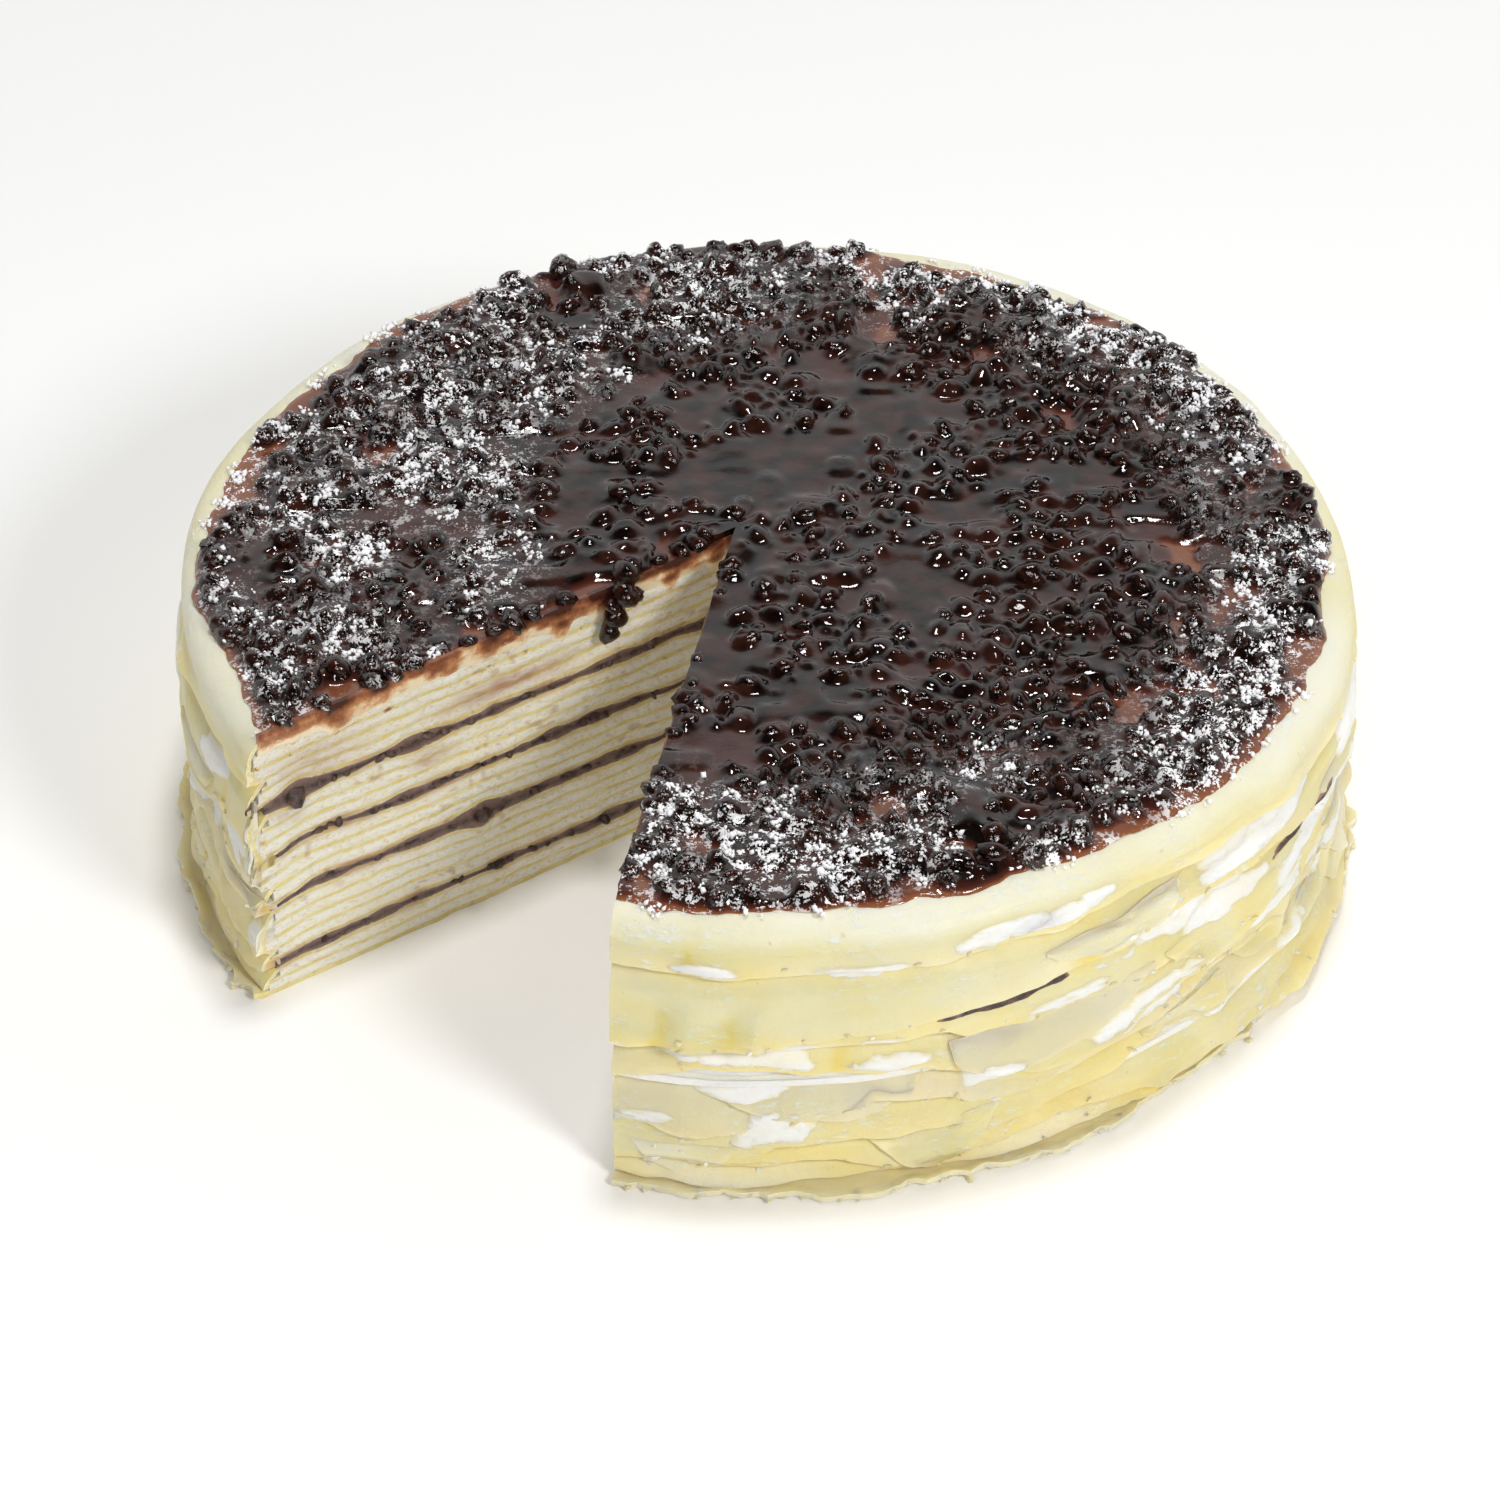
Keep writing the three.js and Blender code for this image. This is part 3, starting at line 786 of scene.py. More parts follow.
def closed_layer(layer, over, under):
    """A closed solid from an upper and a lower grid of points, each of shape columns, rows, 3."""
    columns, rows = over.shape[:2]
    points = [*over.reshape(-1, 3), *under.reshape(-1, 3)]
    top = np.arange(columns * rows).reshape(columns, rows)
    bottom = top + columns * rows
    faces, finish_of = [], []

    def add(points_to_add):
        first = len(points)
        points.extend(points_to_add)
        return np.arange(first, len(points))

    def add_quads(a, b, c, d, finish):
        quads = np.stack([np.ravel(part) for part in (a, b, c, d)], axis=1).tolist()
        faces.extend(quads)
        finish_of.extend([finish] * len(quads))

    tip_heights = [stack_height(layer[edge], *TIP) for edge in ("high", "low")]
    tip_column = [np.array([*TIP, tip_heights[0] + (tip_heights[1] - tip_heights[0]) * step / CUT_ROWS])
                  for step in range(CUT_ROWS + 1)]
    tips = add(tip_column)

    edges, walls = {}, {}
    for side, column in (("first", 0), ("last", columns - 1)):
        far = float(reach(cut_directions[side], np.hypot(*over[column, 0, :2])))
        (high_line, low_line), strips = cut_lines(layer, side, far)
        upper_line = [tips[0], *add(high_line), *top[column]]
        lower_line = [tips[-1], *add(low_line), *bottom[column]]
        grid = [upper_line]
        known = np.array(points)
        upper, lower = known[upper_line], known[lower_line]
        for step in range(1, CUT_ROWS):
            mixed = upper + (lower - upper) * step / CUT_ROWS
            grid.append([tips[step], *add(mixed[1:])])
        grid.append(lower_line)
        walls[side] = np.array(grid)
        edges[side] = [add(strip) for strip in strips]

    points = np.array(points)
    stain, border = carve_cuts(layer, points, walls)
    for side, turned in (("first", False), ("last", True)):
        wall = walls[side]
        corners = [wall[:-1, :-1], wall[1:, :-1], wall[1:, 1:], wall[:-1, 1:]]
        add_quads(*(corners[::-1] if turned else corners), CUT_FINISH)
    add_quads(top[:-1, :-1], top[:-1, 1:], top[1:, 1:], top[1:, :-1], SKIN_FINISH)
    add_quads(bottom[:-1, :-1], bottom[1:, :-1], bottom[1:, 1:], bottom[:-1, 1:], SKIN_FINISH)
    add_quads(top[:-1, -1], bottom[:-1, -1], bottom[1:, -1], top[1:, -1], SKIN_FINISH)
    for end, grid in ((0, top), (1, bottom)):
        for side, turned in (("first", bool(end)), ("last", not end)):
            edge, inset = walls[side][-end, :CUT_STEPS + 1], edges[side][end]
            corners = [edge[:-2], edge[1:-1], inset[1:], inset[:-1]]
            add_quads(*(corners[::-1] if turned else corners), SKIN_FINISH)
            corner = [int(edge[-2]), int(edge[-1]), int(inset[-1])]
            faces.append(corner[::-1] if turned else corner)
            finish_of.append(SKIN_FINISH)
        outline = np.array([*edges["first"][end], *grid[:, 0], *edges["last"][end][::-1]])
        splits = np.linspace(0, len(outline) - 1, CAP_SECTORS + 1).astype(int)
        for begin, finish in zip(splits[:-1], splits[1:]):
            sector = [int(tips[-end]), *outline[begin:finish + 1].tolist()]
            faces.append(sector[::-1] if end else sector)
            finish_of.append(SKIN_FINISH)
    return points, faces, finish_of, stain, border


# %% [markdown]
# The edges are draped from the bottom up, and each is kept, because the covered layers below it end against
# its inner face. The torn hem of the bottom crepe lies on the table and curls up in places.

# %% Drape all edges and build the drooping crepes
draped = {}
for number in sorted(DROOPS):
    radius, heights, hem, ground = drape(number)
    draped[number] = (radius, heights, hem, ground)
    grow_envelope(radius, heights)
print("side reaches", round(float(envelope.min()), 1), "to", round(float(envelope.max()), 1), "mm")


def place(radius, heights, ray=rays):
    """Points of a grid of radii and heights, one row of each for every ray."""
    return raised(on_ray(ray[:, None, :], radius), heights)


def sheet_under(radius, heights):
    """The lower face of a sheet: the upper one moved in along its own slope."""
    run = np.gradient(radius, axis=1)
    fall = -np.gradient(heights, axis=1)
    length = np.maximum(np.hypot(run, fall), 1e-6)
    return radius - SHEET * fall / length, heights - SHEET * run / length


def fold_shade_values(number, radius, heights, hem):
    """Painted shade: stronger yellow where a hem covers the sheet and just below it, in hollows and inside
    dents.
    """
    hollow = smoothed(radius, 6) - radius
    shade = 0.9 * ease(0.12, 0.7, hollow)
    if number == TOP_CREPE:
        shade = shade * ease(7, 9, STACK_HEIGHT - heights)
    seen_from, strong = dent_place(heights, hem, 5)
    for crepe, angle, spread, _ in DENTS:
        if crepe == number:
            pressed = hump(seen_from, angle + 0.3 * spread, spread * 0.6)
            shade = np.maximum(shade, 0.9 * pressed * strong)
    covering = [other for other in DROOPS if other > number]
    if covering:
        cover_hem = draped[min(covering)][2]
        below = np.maximum(cover_hem[:, None] - heights, 0)
        patchy = 0.6 + 0.6 * noise(column_mm / 9, number, 0, 50)
        shade = np.maximum(shade, np.clip(patchy[:, None] * np.exp(-below / 1.3), 0, 1))
    return shade


def blank_values(count, **known):
    """Values for every point: stain, painted fold shade, browned, tone and veil, zero unless known."""
    return {label: np.broadcast_to(np.asarray(known.get(label, 0.0), dtype=float), (count,)).copy()
            for label in ("stain", "fold", "browned", "tone", "veil")}


# How ivory (0), yellow (0.5) or beige (1) each drooping crepe is
TONES = {1: 0.3, 3: 0.35, 5: 0.5, 8: 0.55, 10: 0.85, 13: 0.7, 16: 0.45, 19: 0.5, 22: 0.1}
parts = {}
for number, (radius, heights, hem, ground) in draped.items():
    layer = by_name[f"crepe_{number:02d}"]
    under_radius, under_heights = sheet_under(radius, heights)
    closing = ease(3.2, 1.2, heights - hem[:, None])
    filled = np.where(np.isfinite(ground), np.minimum(under_radius, ground), under_radius)
    under_radius = under_radius + (filled - under_radius) * closing
    if number != TOP_CREPE:
        under_radius[:, 0] = radius[:, 0] - SHEET
        start = on_ray(rays, under_radius[:, 0])
        under_heights[:, 0] = stack_height(layer["low"], start[:, 0], start[:, 1])
    over, under = place(radius, heights), place(under_radius, under_heights)
    points, faces, finish_of, stain, border = closed_layer(layer, over, under)
    # Every point starts with some painted shade; the outer face gets its own on the next line
    values = blank_values(len(points), stain=stain * 0.8, browned=0.25, fold=0.35, veil=border)
    values["fold"][:radius.size] = fold_shade_values(number, radius, heights, hem).ravel()
    tone = TONES[number] + 0.35 * rough(column_mm[:, None] / 30, heights / 14, number, 66)
    if number == TOP_CREPE:
        tone = tone + 0.35 * ease(1, 6, layer["high"] - heights)
    values["tone"][:] = TONES[number]
    values["tone"][:radius.size] = np.clip(tone, 0, 1).ravel()
    parts[layer["name"]] = [points, faces, finish_of, values]
print("drooping crepes:", list(parts))

# %% [markdown]
# ## The covered layers
# Cream, beans and the other crepes end against the inside of the edge that hangs over them. They only show at
# the two cuts, so a coarse rim is enough. Three crepes came out of the pan darker, and their cut edges show
# brown specks.

# %% Build the covered layers
RIM_STRIDE = 4
BEAN_RIM_INSET = 1.5
DARK_CREPES = {9: 0.5, 17: 0.5, 20: 1.0}
# How much of the cream that the knife drew shows at the borders of a cut layer
CUT_VEIL = {"crepe": 1.0, "cream": 0.0, "bean_filling": 0.6}


def covered_rim(layer):
    """Radius of a covered layer's edge for every column, just inside the sheet that hangs over it."""
    cover = min(number for number in DROOPS if by_name[f"crepe_{number:02d}"]["low"] > layer["low"])
    radius, heights = draped[cover][:2]
    under_radius, under_heights = sheet_under(radius, heights)
    inner = side_radius - STACK_INSET
    start = on_ray(rays, inner)
    level = stack_height(layer["high"], start[:, 0], start[:, 1])
    rim = np.array([np.interp(level[column], under_heights[column][::-1], under_radius[column][::-1])
                    for column in range(COLUMNS)])
    return np.clip(rim - 0.2, inner - 1.0, side_radius - 1.0)


columns_kept = np.unique([*range(0, COLUMNS, RIM_STRIDE), COLUMNS - 1])
covered = [layer for layer in layers[1:] if layer["kind"] != "crepe" or layer["number"] not in DROOPS]
layer_finishes = {"crepe": [crepe_finish, crepe_cut_finish], "cream": [cream_finish, cream_cut_finish],
                  "bean_filling": [paste_finish, paste_finish]}
for layer in covered:
    rim = covered_rim(layer)[columns_kept] - (BEAN_RIM_INSET if layer["kind"] == "bean_filling" else 0.0)
    flat = on_ray(rays[columns_kept], rim)
    grids = [on_level(flat, layer[edge])[:, None, :] for edge in ("high", "low")]
    points, faces, finish_of, stain, border = closed_layer(layer, *grids)
    dark = DARK_CREPES.get(layer["number"], 0.15) if layer["kind"] == "crepe" else 0.0
    values = blank_values(len(points), stain=stain, browned=dark, veil=border * CUT_VEIL[layer["kind"]])
    parts[layer["name"]] = [points, faces, finish_of, values]
print("covered layers:", len(covered))

# %% [markdown]
# ## Flaps and smears on the side
# The side is patchwork. Torn crepes hang as flaps, and cream that came out between the layers was wiped flat
# with a spatula. Both are low patches laid on the envelope. A flap has a clear outline: it grows out of the
# surface at its top and ends in a loose lower edge, pointed or rounded. A smear has none: it stands proud
# only where the noise in its height is above zero and dives under elsewhere, so its outline is torn and soft.

# %% The ground under a patch
PATCH_STEP = 0.8
PATCH_SINK = 0.6
PATCH_FLOOR = 1.4


def patch_ground(direction, half_length):
    """Distances along a patch, a ray for each, and functions that read and raise the envelope there."""
    direction = direction + 360 * np.ceil((turns[0] - direction) / 360)
    across = np.linspace(-1, 1, int(2 * half_length / PATCH_STEP)) * half_length
    column = np.interp(np.radians(direction) * CAKE_RADIUS + across, column_mm, np.arange(COLUMNS))
    column = np.clip(column, 0, COLUMNS - 1.001)
    low = column.astype(int)
    part = column - low
    ray = rays[low] * (1 - part[:, None]) + rays[low + 1] * part[:, None]
    ray = ray / np.linalg.norm(ray, axis=1, keepdims=True)

    def ground(heights):
        level, share = level_index(heights), part[:, None]
        found = envelope[low[:, None], level] * (1 - share) + envelope[low[:, None] + 1, level] * share
        return smoothed(found, 4)

    def raise_envelope(radius, heights):
        level = level_index(heights)
        for side in (0, 1):
            np.maximum.at(envelope, (np.broadcast_to(low[:, None] + side, level.shape), level), radius)

    return across, ray, ground, raise_envelope


def closed_patch(outer, inner):
    """Points and faces of a closed patch: a fine front, and a plain hidden back with two rows."""
    columns, rows = outer.shape[:2]
    front = np.arange(columns * rows).reshape(columns, rows)
    back = columns * rows + np.arange(2 * columns).reshape(columns, 2)
    quads = [(front[:-1, :-1], front[:-1, 1:], front[1:, 1:], front[1:, :-1]),
             (back[:-1, 0], back[1:, 0], back[1:, 1], back[:-1, 1]),
             (front[:-1, 0], front[1:, 0], back[1:, 0], back[:-1, 0]),
             (front[1:, -1], front[:-1, -1], back[:-1, 1], back[1:, 1])]
    faces = []
    for corners in quads:
        faces += np.stack([np.ravel(corner) for corner in corners], axis=1).tolist()
    faces.append([*front[0, ::-1].tolist(), int(back[0, 0]), int(back[0, 1])])
    faces.append([*front[-1].tolist(), int(back[-1, 1]), int(back[-1, 0])])
    return np.concatenate([outer.reshape(-1, 3), inner.reshape(-1, 3)]), faces


def patch_back(ray, base, depth, heights):
    """The two rows of a patch's back, deeper than the ground anywhere in the column."""
    deepest = np.repeat(base.min(axis=1, keepdims=True) - depth, 2, axis=1)
    return place(deepest, heights[:, [0, -1]], ray)


def join_to(node, points, faces, **values):
    """Joins more mesh to the piece that stands for a node."""
    known = parts[node]
    offset = len(known[0])
    known[0] = np.concatenate([known[0], points])
    known[1] = known[1] + [[index + offset for index in face] for face in faces]
    known[2] = known[2] + [SKIN_FINISH] * len(faces)
    added = blank_values(len(points), **values)
    known[3] = {label: np.concatenate([known[3][label], added[label]]) for label in known[3]}


# %% [markdown]
# The flaps in front follow the photo, one row of numbers each. Round the back, others of like sizes are drawn
# at random. Every flap raises the envelope, so the next one lies on it.

# %% Flaps of crepe
# direction, height of the top edge, half length, hang, skew (over 1 leans right), fullness (small is boxy),
# slope, tone, crepe that it was torn from
FLAPS = [
    (262, 9.5, 9, 6, 0.8, 0.6, 0.0, 0.2, "crepe_05"), (286, 11.5, 12, 9.5, 1.1, 0.9, 0.12, 0.5, "crepe_05"),
    (274, 26.0, 21, 10, 1.7, 0.4, 0.04, 0.9, "crepe_10"),
    (298, 31.5, 21, 10, 0.8, 0.5, 0.09, 1.0, "crepe_13"),
    (314, 17.5, 11, 7, 1.3, 0.7, 0.1, 0.4, "crepe_05"), (318, 35.0, 15, 9, 1.3, 0.6, 0.1, 0.5, "crepe_13"),
    (326, 25.0, 13, 9, 1.2, 0.6, 0.12, 0.5, "crepe_08"), (335, 17.0, 11, 8, 0.9, 0.7, 0.1, 0.45, "crepe_08"),
    (304, 47.5, 15, 6, 1.2, 0.6, 0.1, 0.2, "crepe_19"), (341, 44.0, 12, 9, 0.8, 0.6, 0.1, 0.4, "crepe_19"),
    (344, 30.0, 11, 9, 1.3, 0.6, 0.1, 0.5, "crepe_13"), (348, 12.0, 11, 7, 1.1, 0.7, 0.05, 0.4, "crepe_05"),
    (212, 34.0, 8, 9, 1.2, 0.7, -0.1, 0.4, "crepe_13"), (206, 22.0, 10, 9, 0.8, 0.6, 0.1, 0.5, "crepe_10"),
    (197, 42.0, 12, 8, 1.3, 0.6, 0.05, 0.4, "crepe_19"), (190, 13.0, 11, 8, 1.2, 0.6, 0.0, 0.5, "crepe_05"),
]
FLAP_ROWS = 12
# Where the photo doesn't show the side, the same measures are drawn from these ranges, half length first
FLAP_RANGES = [(8, 17), (5, 10), (0.7, 1.6), (0.4, 0.9), (-0.1, 0.12), (0.1, 1.0)]
side_random = np.random.default_rng(3)
for direction in np.arange(-4, 184, 8.5):
    level = side_random.uniform(10, 48)
    direction = direction + side_random.uniform(-3, 3)
    crepe = min((number for number in DROOPS if by_name[f"crepe_{number:02d}"]["high"] > level),
                default=TOP_CREPE)
    measures = [side_random.uniform(*ends) for ends in FLAP_RANGES]
    FLAPS.append((direction, level, *measures, f"crepe_{crepe:02d}"))
for seed, (direction, level, half_length, hang, skew, fullness, slope, tone, node) in enumerate(FLAPS):
    across, ray, ground, raise_envelope = patch_ground(direction, half_length)
    share = (across / half_length + 1) / 2
    outline = np.sin(np.pi * share ** skew) ** fullness
    ragged = 0.5 * rough(across / 5, seed, 0, 67) + 0.25 * noise(across / 1.6, seed, 0, 68)
    length = np.maximum(hang * outline + ragged * ease(0, 0.3, outline), 0.4)
    down = np.linspace(0, 1, FLAP_ROWS)[None, :]
    top_edge = level + slope * across + 0.4 * noise(across / 8, seed, 0, 69)
    heights = np.maximum(top_edge[:, None] - length[:, None] * down, PATCH_FLOOR)
    from_hem = (1 - down) * length[:, None]
    sides = np.minimum(share, 1 - share)[:, None] * 2 * half_length
    lift = 0.8 * ease(0, 0.45, down) * ease(-0.5, 2.0, sides)
    lift = lift + 0.45 * noise(across[:, None] / 7, heights / 3, seed, 70) * down
    curl = 0.5 * np.exp(-from_hem / 1.4) * (0.4 + noise(across / 6, seed, 0, 71)[:, None])
    lift = np.maximum(lift + curl, 0.02)
    base = ground(heights)
    points, faces = closed_patch(place(base + lift, heights, ray), patch_back(ray, base, PATCH_SINK, heights))
    # Painted shade: yellow in the flap's hollows, and on its hidden back
    fold = 0.5 * ease(0.1, 0.6, smoothed(lift, 3) - lift)
    join_to(node, points, faces, tone=np.clip(tone + 0.2 * noise(*(points.T / 9), 72), 0, 1),
            fold=np.concatenate([fold.ravel(), np.full(len(points) - fold.size, 0.6)]), browned=0.2)
    raise_envelope(base + lift, heights)
print("flaps on the side:", len(FLAPS))

# %% [markdown]
# Smears come after the flaps and lie over them. Cream came out between two crepes and was wiped along the
# side, and a bean layer left a few short dark streaks. Towards its torn outline, cream turns a little yellow.

# %% Cream and bean smears
# direction, height, half length, half height, thickness, slope, and the layer that it came out of
SMEARS = [
    (268, 29.6, 15, 3.4, 1.1, -0.02, "cream_09"), (292, 52.4, 9, 3.0, 0.8, 0.08, "cream_15"),
    (312, 42.0, 23, 4.6, 0.9, 0.08, "cream_13"), (270.5, 14.3, 7, 4.4, 1.2, 0.0, "cream_05"),
    (309, 23.0, 12, 4.2, 0.9, 0.16, "cream_07"), (333, 33.0, 15, 4.0, 0.8, 0.1, "cream_10"),
    (330, 14.0, 9, 2.4, 0.8, 0.1, "cream_05"), (258.5, 16.0, 6, 2.6, 0.8, 0.0, "cream_05"),
    (291, 21.5, 7, 2.2, 0.9, 0.1, "cream_05"), (346, 46.0, 16, 3.6, 0.8, 0.08, "cream_14"),
    (283, 32.5, 10, 1.4, 0.7, 0.06, "cream_09"), (300, 33.0, 9, 1.8, 0.8, 0.12, "cream_10"),
    (322, 49.0, 13, 2.6, 0.8, 0.08, "cream_15"), (264, 50.5, 7, 1.6, 0.6, 0.0, "cream_15"),
    (278, 50.0, 8, 1.3, 0.6, 0.02, "cream_15"), (338, 24.0, 9, 3.0, 0.8, 0.1, "cream_07"),
    (213, 36.0, 5, 6.0, 1.0, 0.3, "cream_11"), (206, 31.0, 7, 5.0, 1.0, 0.2, "cream_10"),
    (203, 47.0, 8, 2.8, 0.7, 0.1, "cream_13"), (211, 14.0, 5, 3.0, 0.9, 0.1, "cream_05"),
    (192, 23.0, 13, 3.6, 0.8, 0.0, "cream_07"), (180, 41.0, 15, 4.0, 0.8, 0.0, "cream_12"),
    (324, 47.5, 20, 2.6, 0.7, 0.1, "cream_14"),
    (318, 37.5, 12, 3.2, 0.8, 0.1, "cream_12"), (338, 38.0, 14, 2.4, 0.7, 0.12, "cream_12"),
    (345, 35.0, 12, 2.4, 0.7, 0.1, "cream_10"), (328, 27.5, 11, 2.4, 0.8, 0.12, "cream_09"),
    (343, 20.0, 11, 2.2, 0.8, 0.1, "cream_07"), (352, 40.0, 12, 3.4, 0.8, 0.1, "cream_12"),
    (353, 28.0, 12, 2.8, 0.8, 0.1, "cream_09"), (317, 12.0, 8, 1.8, 0.8, 0.1, "cream_03"),
    (268, 22.5, 9, 1.6, 0.7, 0.05, "cream_07"), (281, 27.5, 9, 2.4, 1.1, 0.0, "cream_09"),
    (262, 25.0, 6, 1.6, 0.8, 0.0, "cream_09"), (299, 53.5, 9, 2.2, 0.7, 0.1, "cream_15"),
    (293.5, 37.0, 13, 1.0, 0.7, 0.1, "bean_filling_03"), (331, 39.4, 13, 0.7, 0.6, 0.1, "bean_filling_03"),
    (215, 45.0, 4, 0.9, 0.5, 0.1, "bean_filling_04"), (140, 36.5, 10, 1.0, 0.6, 0.0, "bean_filling_03"),
    (60, 35.0, 11, 1.0, 0.6, 0.05, "bean_filling_03"),
]
SMEAR_ROWS = 16
SMEAR_LIMITS = 0.6, 58.5
CREAM_LEVELS = {4: "cream_03", 14: "cream_05", 21: "cream_07", 27: "cream_09", 33: "cream_10", 38: "cream_12",
                45: "cream_14", 52: "cream_15"}
# How far the direction and height stray, then half length, half height, thickness and slope
SMEAR_RANGES = [(-2, 2), (-2, 2), (5, 17), (1.6, 4.2), (0.6, 1.1), (-0.08, 0.1)]
for direction in np.arange(-2, 172, 5.2):
    level = side_random.choice(list(CREAM_LEVELS))
    turned, lifted, *measures = [side_random.uniform(*ends) for ends in SMEAR_RANGES]
    SMEARS.append((direction + turned, level + lifted, *measures, CREAM_LEVELS[level]))
for seed, (direction, level, half_length, half_height, thickness, slope, node) in enumerate(SMEARS):
    across, ray, ground, raise_envelope = patch_ground(direction, 1.35 * half_length)
    across = across[:, None]
    v = np.linspace(1.4, -1.4, SMEAR_ROWS)[None, :]
    heights = level + v * half_height + across * slope + 0.6 * noise(across / 9, seed, 0, 61)
    heights = np.clip(heights, *SMEAR_LIMITS)
    torn = 0.95 * rough(across / 7, heights / 2.6, seed, 62)
    torn = torn + 0.4 * rough(across / 1.8, heights / 1.1, seed, 63, 2)
    dome = 0.97 - np.abs(across / half_length) ** 2.5 - np.abs(v) ** 2.2 + torn
    streaks = 0.16 * noise(across / 11, (heights - slope * across) / 0.8, seed, 64)
    pits = 0.2 * rough(across / 1.8, heights / 1.2, seed, 65, 2) * (thickness > 0.95)
    lift = thickness * np.tanh(1.1 * dome) + (streaks + pits) * ease(0, 0.5, dome)
    base = ground(heights)
    back = patch_back(ray, base, thickness + PATCH_SINK, heights)
    points, faces = closed_patch(place(base + lift, heights, ray), back)
    veil = 1 - ease(0.0, 0.4 * thickness, lift)
    join_to(node, points, faces, veil=np.concatenate([veil.ravel(), np.zeros(len(points) - veil.size)]))
print("smears on the side:", len(SMEARS))

# %% [markdown]
# ## Beans in the cut
# The knife went through whole beans, which stand out of the dark bean layers as rounded bits. Each is a small
# squashed ball with its own turn, set halfway into the cut. They are joined to their layer's mesh.

# %% Beans that show at the cuts
BEANS_PER_CUT = 26
rng = np.random.default_rng(7)


def small_ball(rings, sides):
    """Points and faces of a closed ball of radius 1."""
    polar = np.pi * np.arange(1, rings) / rings
    turn = 2 * np.pi * np.arange(sides) / sides
    belt = [[np.sin(p) * np.cos(t), np.sin(p) * np.sin(t), np.cos(p)] for p in polar for t in turn]
    points = np.array([[0, 0, 1.0], *belt, [0, 0, -1.0]])
    last = len(points) - 1
    faces = []
    for side in range(sides):
        following = (side + 1) % sides
        faces.append([0, 1 + side, 1 + following])
        for ring in range(rings - 2):
            row, below = 1 + ring * sides, 1 + (ring + 1) * sides
            faces.append([row + side, below + side, below + following, row + following])
        faces.append([last, last - sides + following, last - sides + side])
    return points, faces


def turned_balls(ball, centres, radii, seed, dents=0.12, turns_known=None):
    """Many squashed and turned copies of one ball, joined into one mesh."""
    points, faces = ball
    random = np.random.default_rng(seed)
    all_points, all_faces = [], []
    for count, (centre, size) in enumerate(zip(centres, radii)):
        turn = random.uniform(0, 2 * np.pi) if turns_known is None else turns_known[count]
        lean = random.normal(0, 0.22, 2) if turns_known is None else random.normal(0, 0.05, 2)
        x, y, z = points.T * 1.6
        shaped = points * (1 + dents * noise(x + count * 3.7, y, z, 65))[:, None] * size
        shaped[:, 2] += shaped[:, :2] @ lean
        c, s = np.cos(turn), np.sin(turn)
        x, y, z = shaped.T
        all_points.append(np.column_stack([c * x - s * y, s * x + c * y, z]) + centre)
        all_faces.extend([[index + count * len(points) for index in face] for face in faces])
    return np.concatenate(all_points), all_faces


cut_ball = small_ball(6, 9)
for number, middle in enumerate(bean_middles):
    node = f"bean_filling_{number + 1:02d}"
    centres, radii = [], []
    for side, ray in cut_directions.items():
        spots = np.sort(rng.uniform(4, 98, BEANS_PER_CUT))
        if side == "last":
            spots = np.concatenate([spots, [along for layer, along, _ in CUT_BEANS if layer == number]])
        for along in spots:
            flat_point = TIP + along * ray
            size = rng.uniform(0.55, 1.0)
            for layer, known, amount in CUT_BEANS:
                if side == "last" and layer == number and along == known:
                    size = 0.9 + 0.3 * amount
            height = stack_height(middle, *flat_point) + rng.uniform(-0.4, 0.4)
            centres.append([*(flat_point - 0.2 * size * cut_outward[side]), float(height)])
            radii.append([size * 1.4, size * 0.9, size * 0.75])
    ball_points, ball_faces = turned_balls(cut_ball, np.array(centres), np.array(radii), 70 + number)
    join_to(node, ball_points, ball_faces)
print("points in the widest bean layer:", max(len(parts[f"bean_filling_{n:02d}"][0]) for n in (1, 2, 3, 4)))

# %% [markdown]
# ## The bottom crepe
# The lowest crepe lies flat on the table and is a little wider than the cake. Its torn hem shows all round
# as a thin ragged brim, lifted here and there.

# %% Bottom crepe
HEM_ROWS = 12
BRIM_START = 103
hem_edge = HEM_RADIUS - 1.2 + 1.3 * noise(column_mm / 22, 3, 0, 81) + 1.6 * rough(column_mm / 3.6, 5, 0, 82)
hem_edge = hem_edge + 1.2 * hump(turns, 284, 14) - 1.5 * hump(turns, 310, 8)
hem_edge = np.minimum(hem_edge, HEM_RADIUS + 1.0)
brim = np.linspace(0, 1, HEM_ROWS)[None, :]
brim_radius = BRIM_START + (hem_edge[:, None] - BRIM_START) * brim
lift = (0.9 * np.maximum(0, noise(column_mm / 19, 7, 0, 83)) + 0.35)[:, None] * ease(0.72, 1, brim) * 1.6
lift = lift + 2.2 * hump(turns, 338, 13)[:, None] * ease(0.6, 1, brim)
lift = lift + 0.15 * noise(brim_radius / 3, column_mm[:, None] / 3, 0, 84) * ease(0.3, 0.6, brim)
bottom_layer = by_name["crepe_01"]
over = place(brim_radius, bottom_layer["high"] - 0.15 * brim + np.maximum(lift, 0))
under = place(brim_radius, np.maximum(lift - 0.1 * brim, 0))
points, faces, finish_of, stain, border = closed_layer(bottom_layer, over, under)
values = blank_values(len(points), browned=0.3, tone=0.15)
# Painted shade: stronger yellow where the brim meets the foot of the cake
values["fold"][:brim_radius.size] = 0.3 * np.exp(-np.maximum(brim_radius - CAKE_RADIUS - 0.5, 0)).ravel()
parts["crepe_01"] = [points, faces, finish_of, values]
print("hem from", round(float(hem_edge.min()), 1), "to", round(float(hem_edge.max()), 1), "mm")

# %% [markdown]
# ## Crumbs along the edges
# Torn batter leaves crumbs and curls at the hems, and cream leaves small drops. They are joined balls, dented
# and squashed, strewn along the hems, and they stay part of the crepe or cream that they stick to.

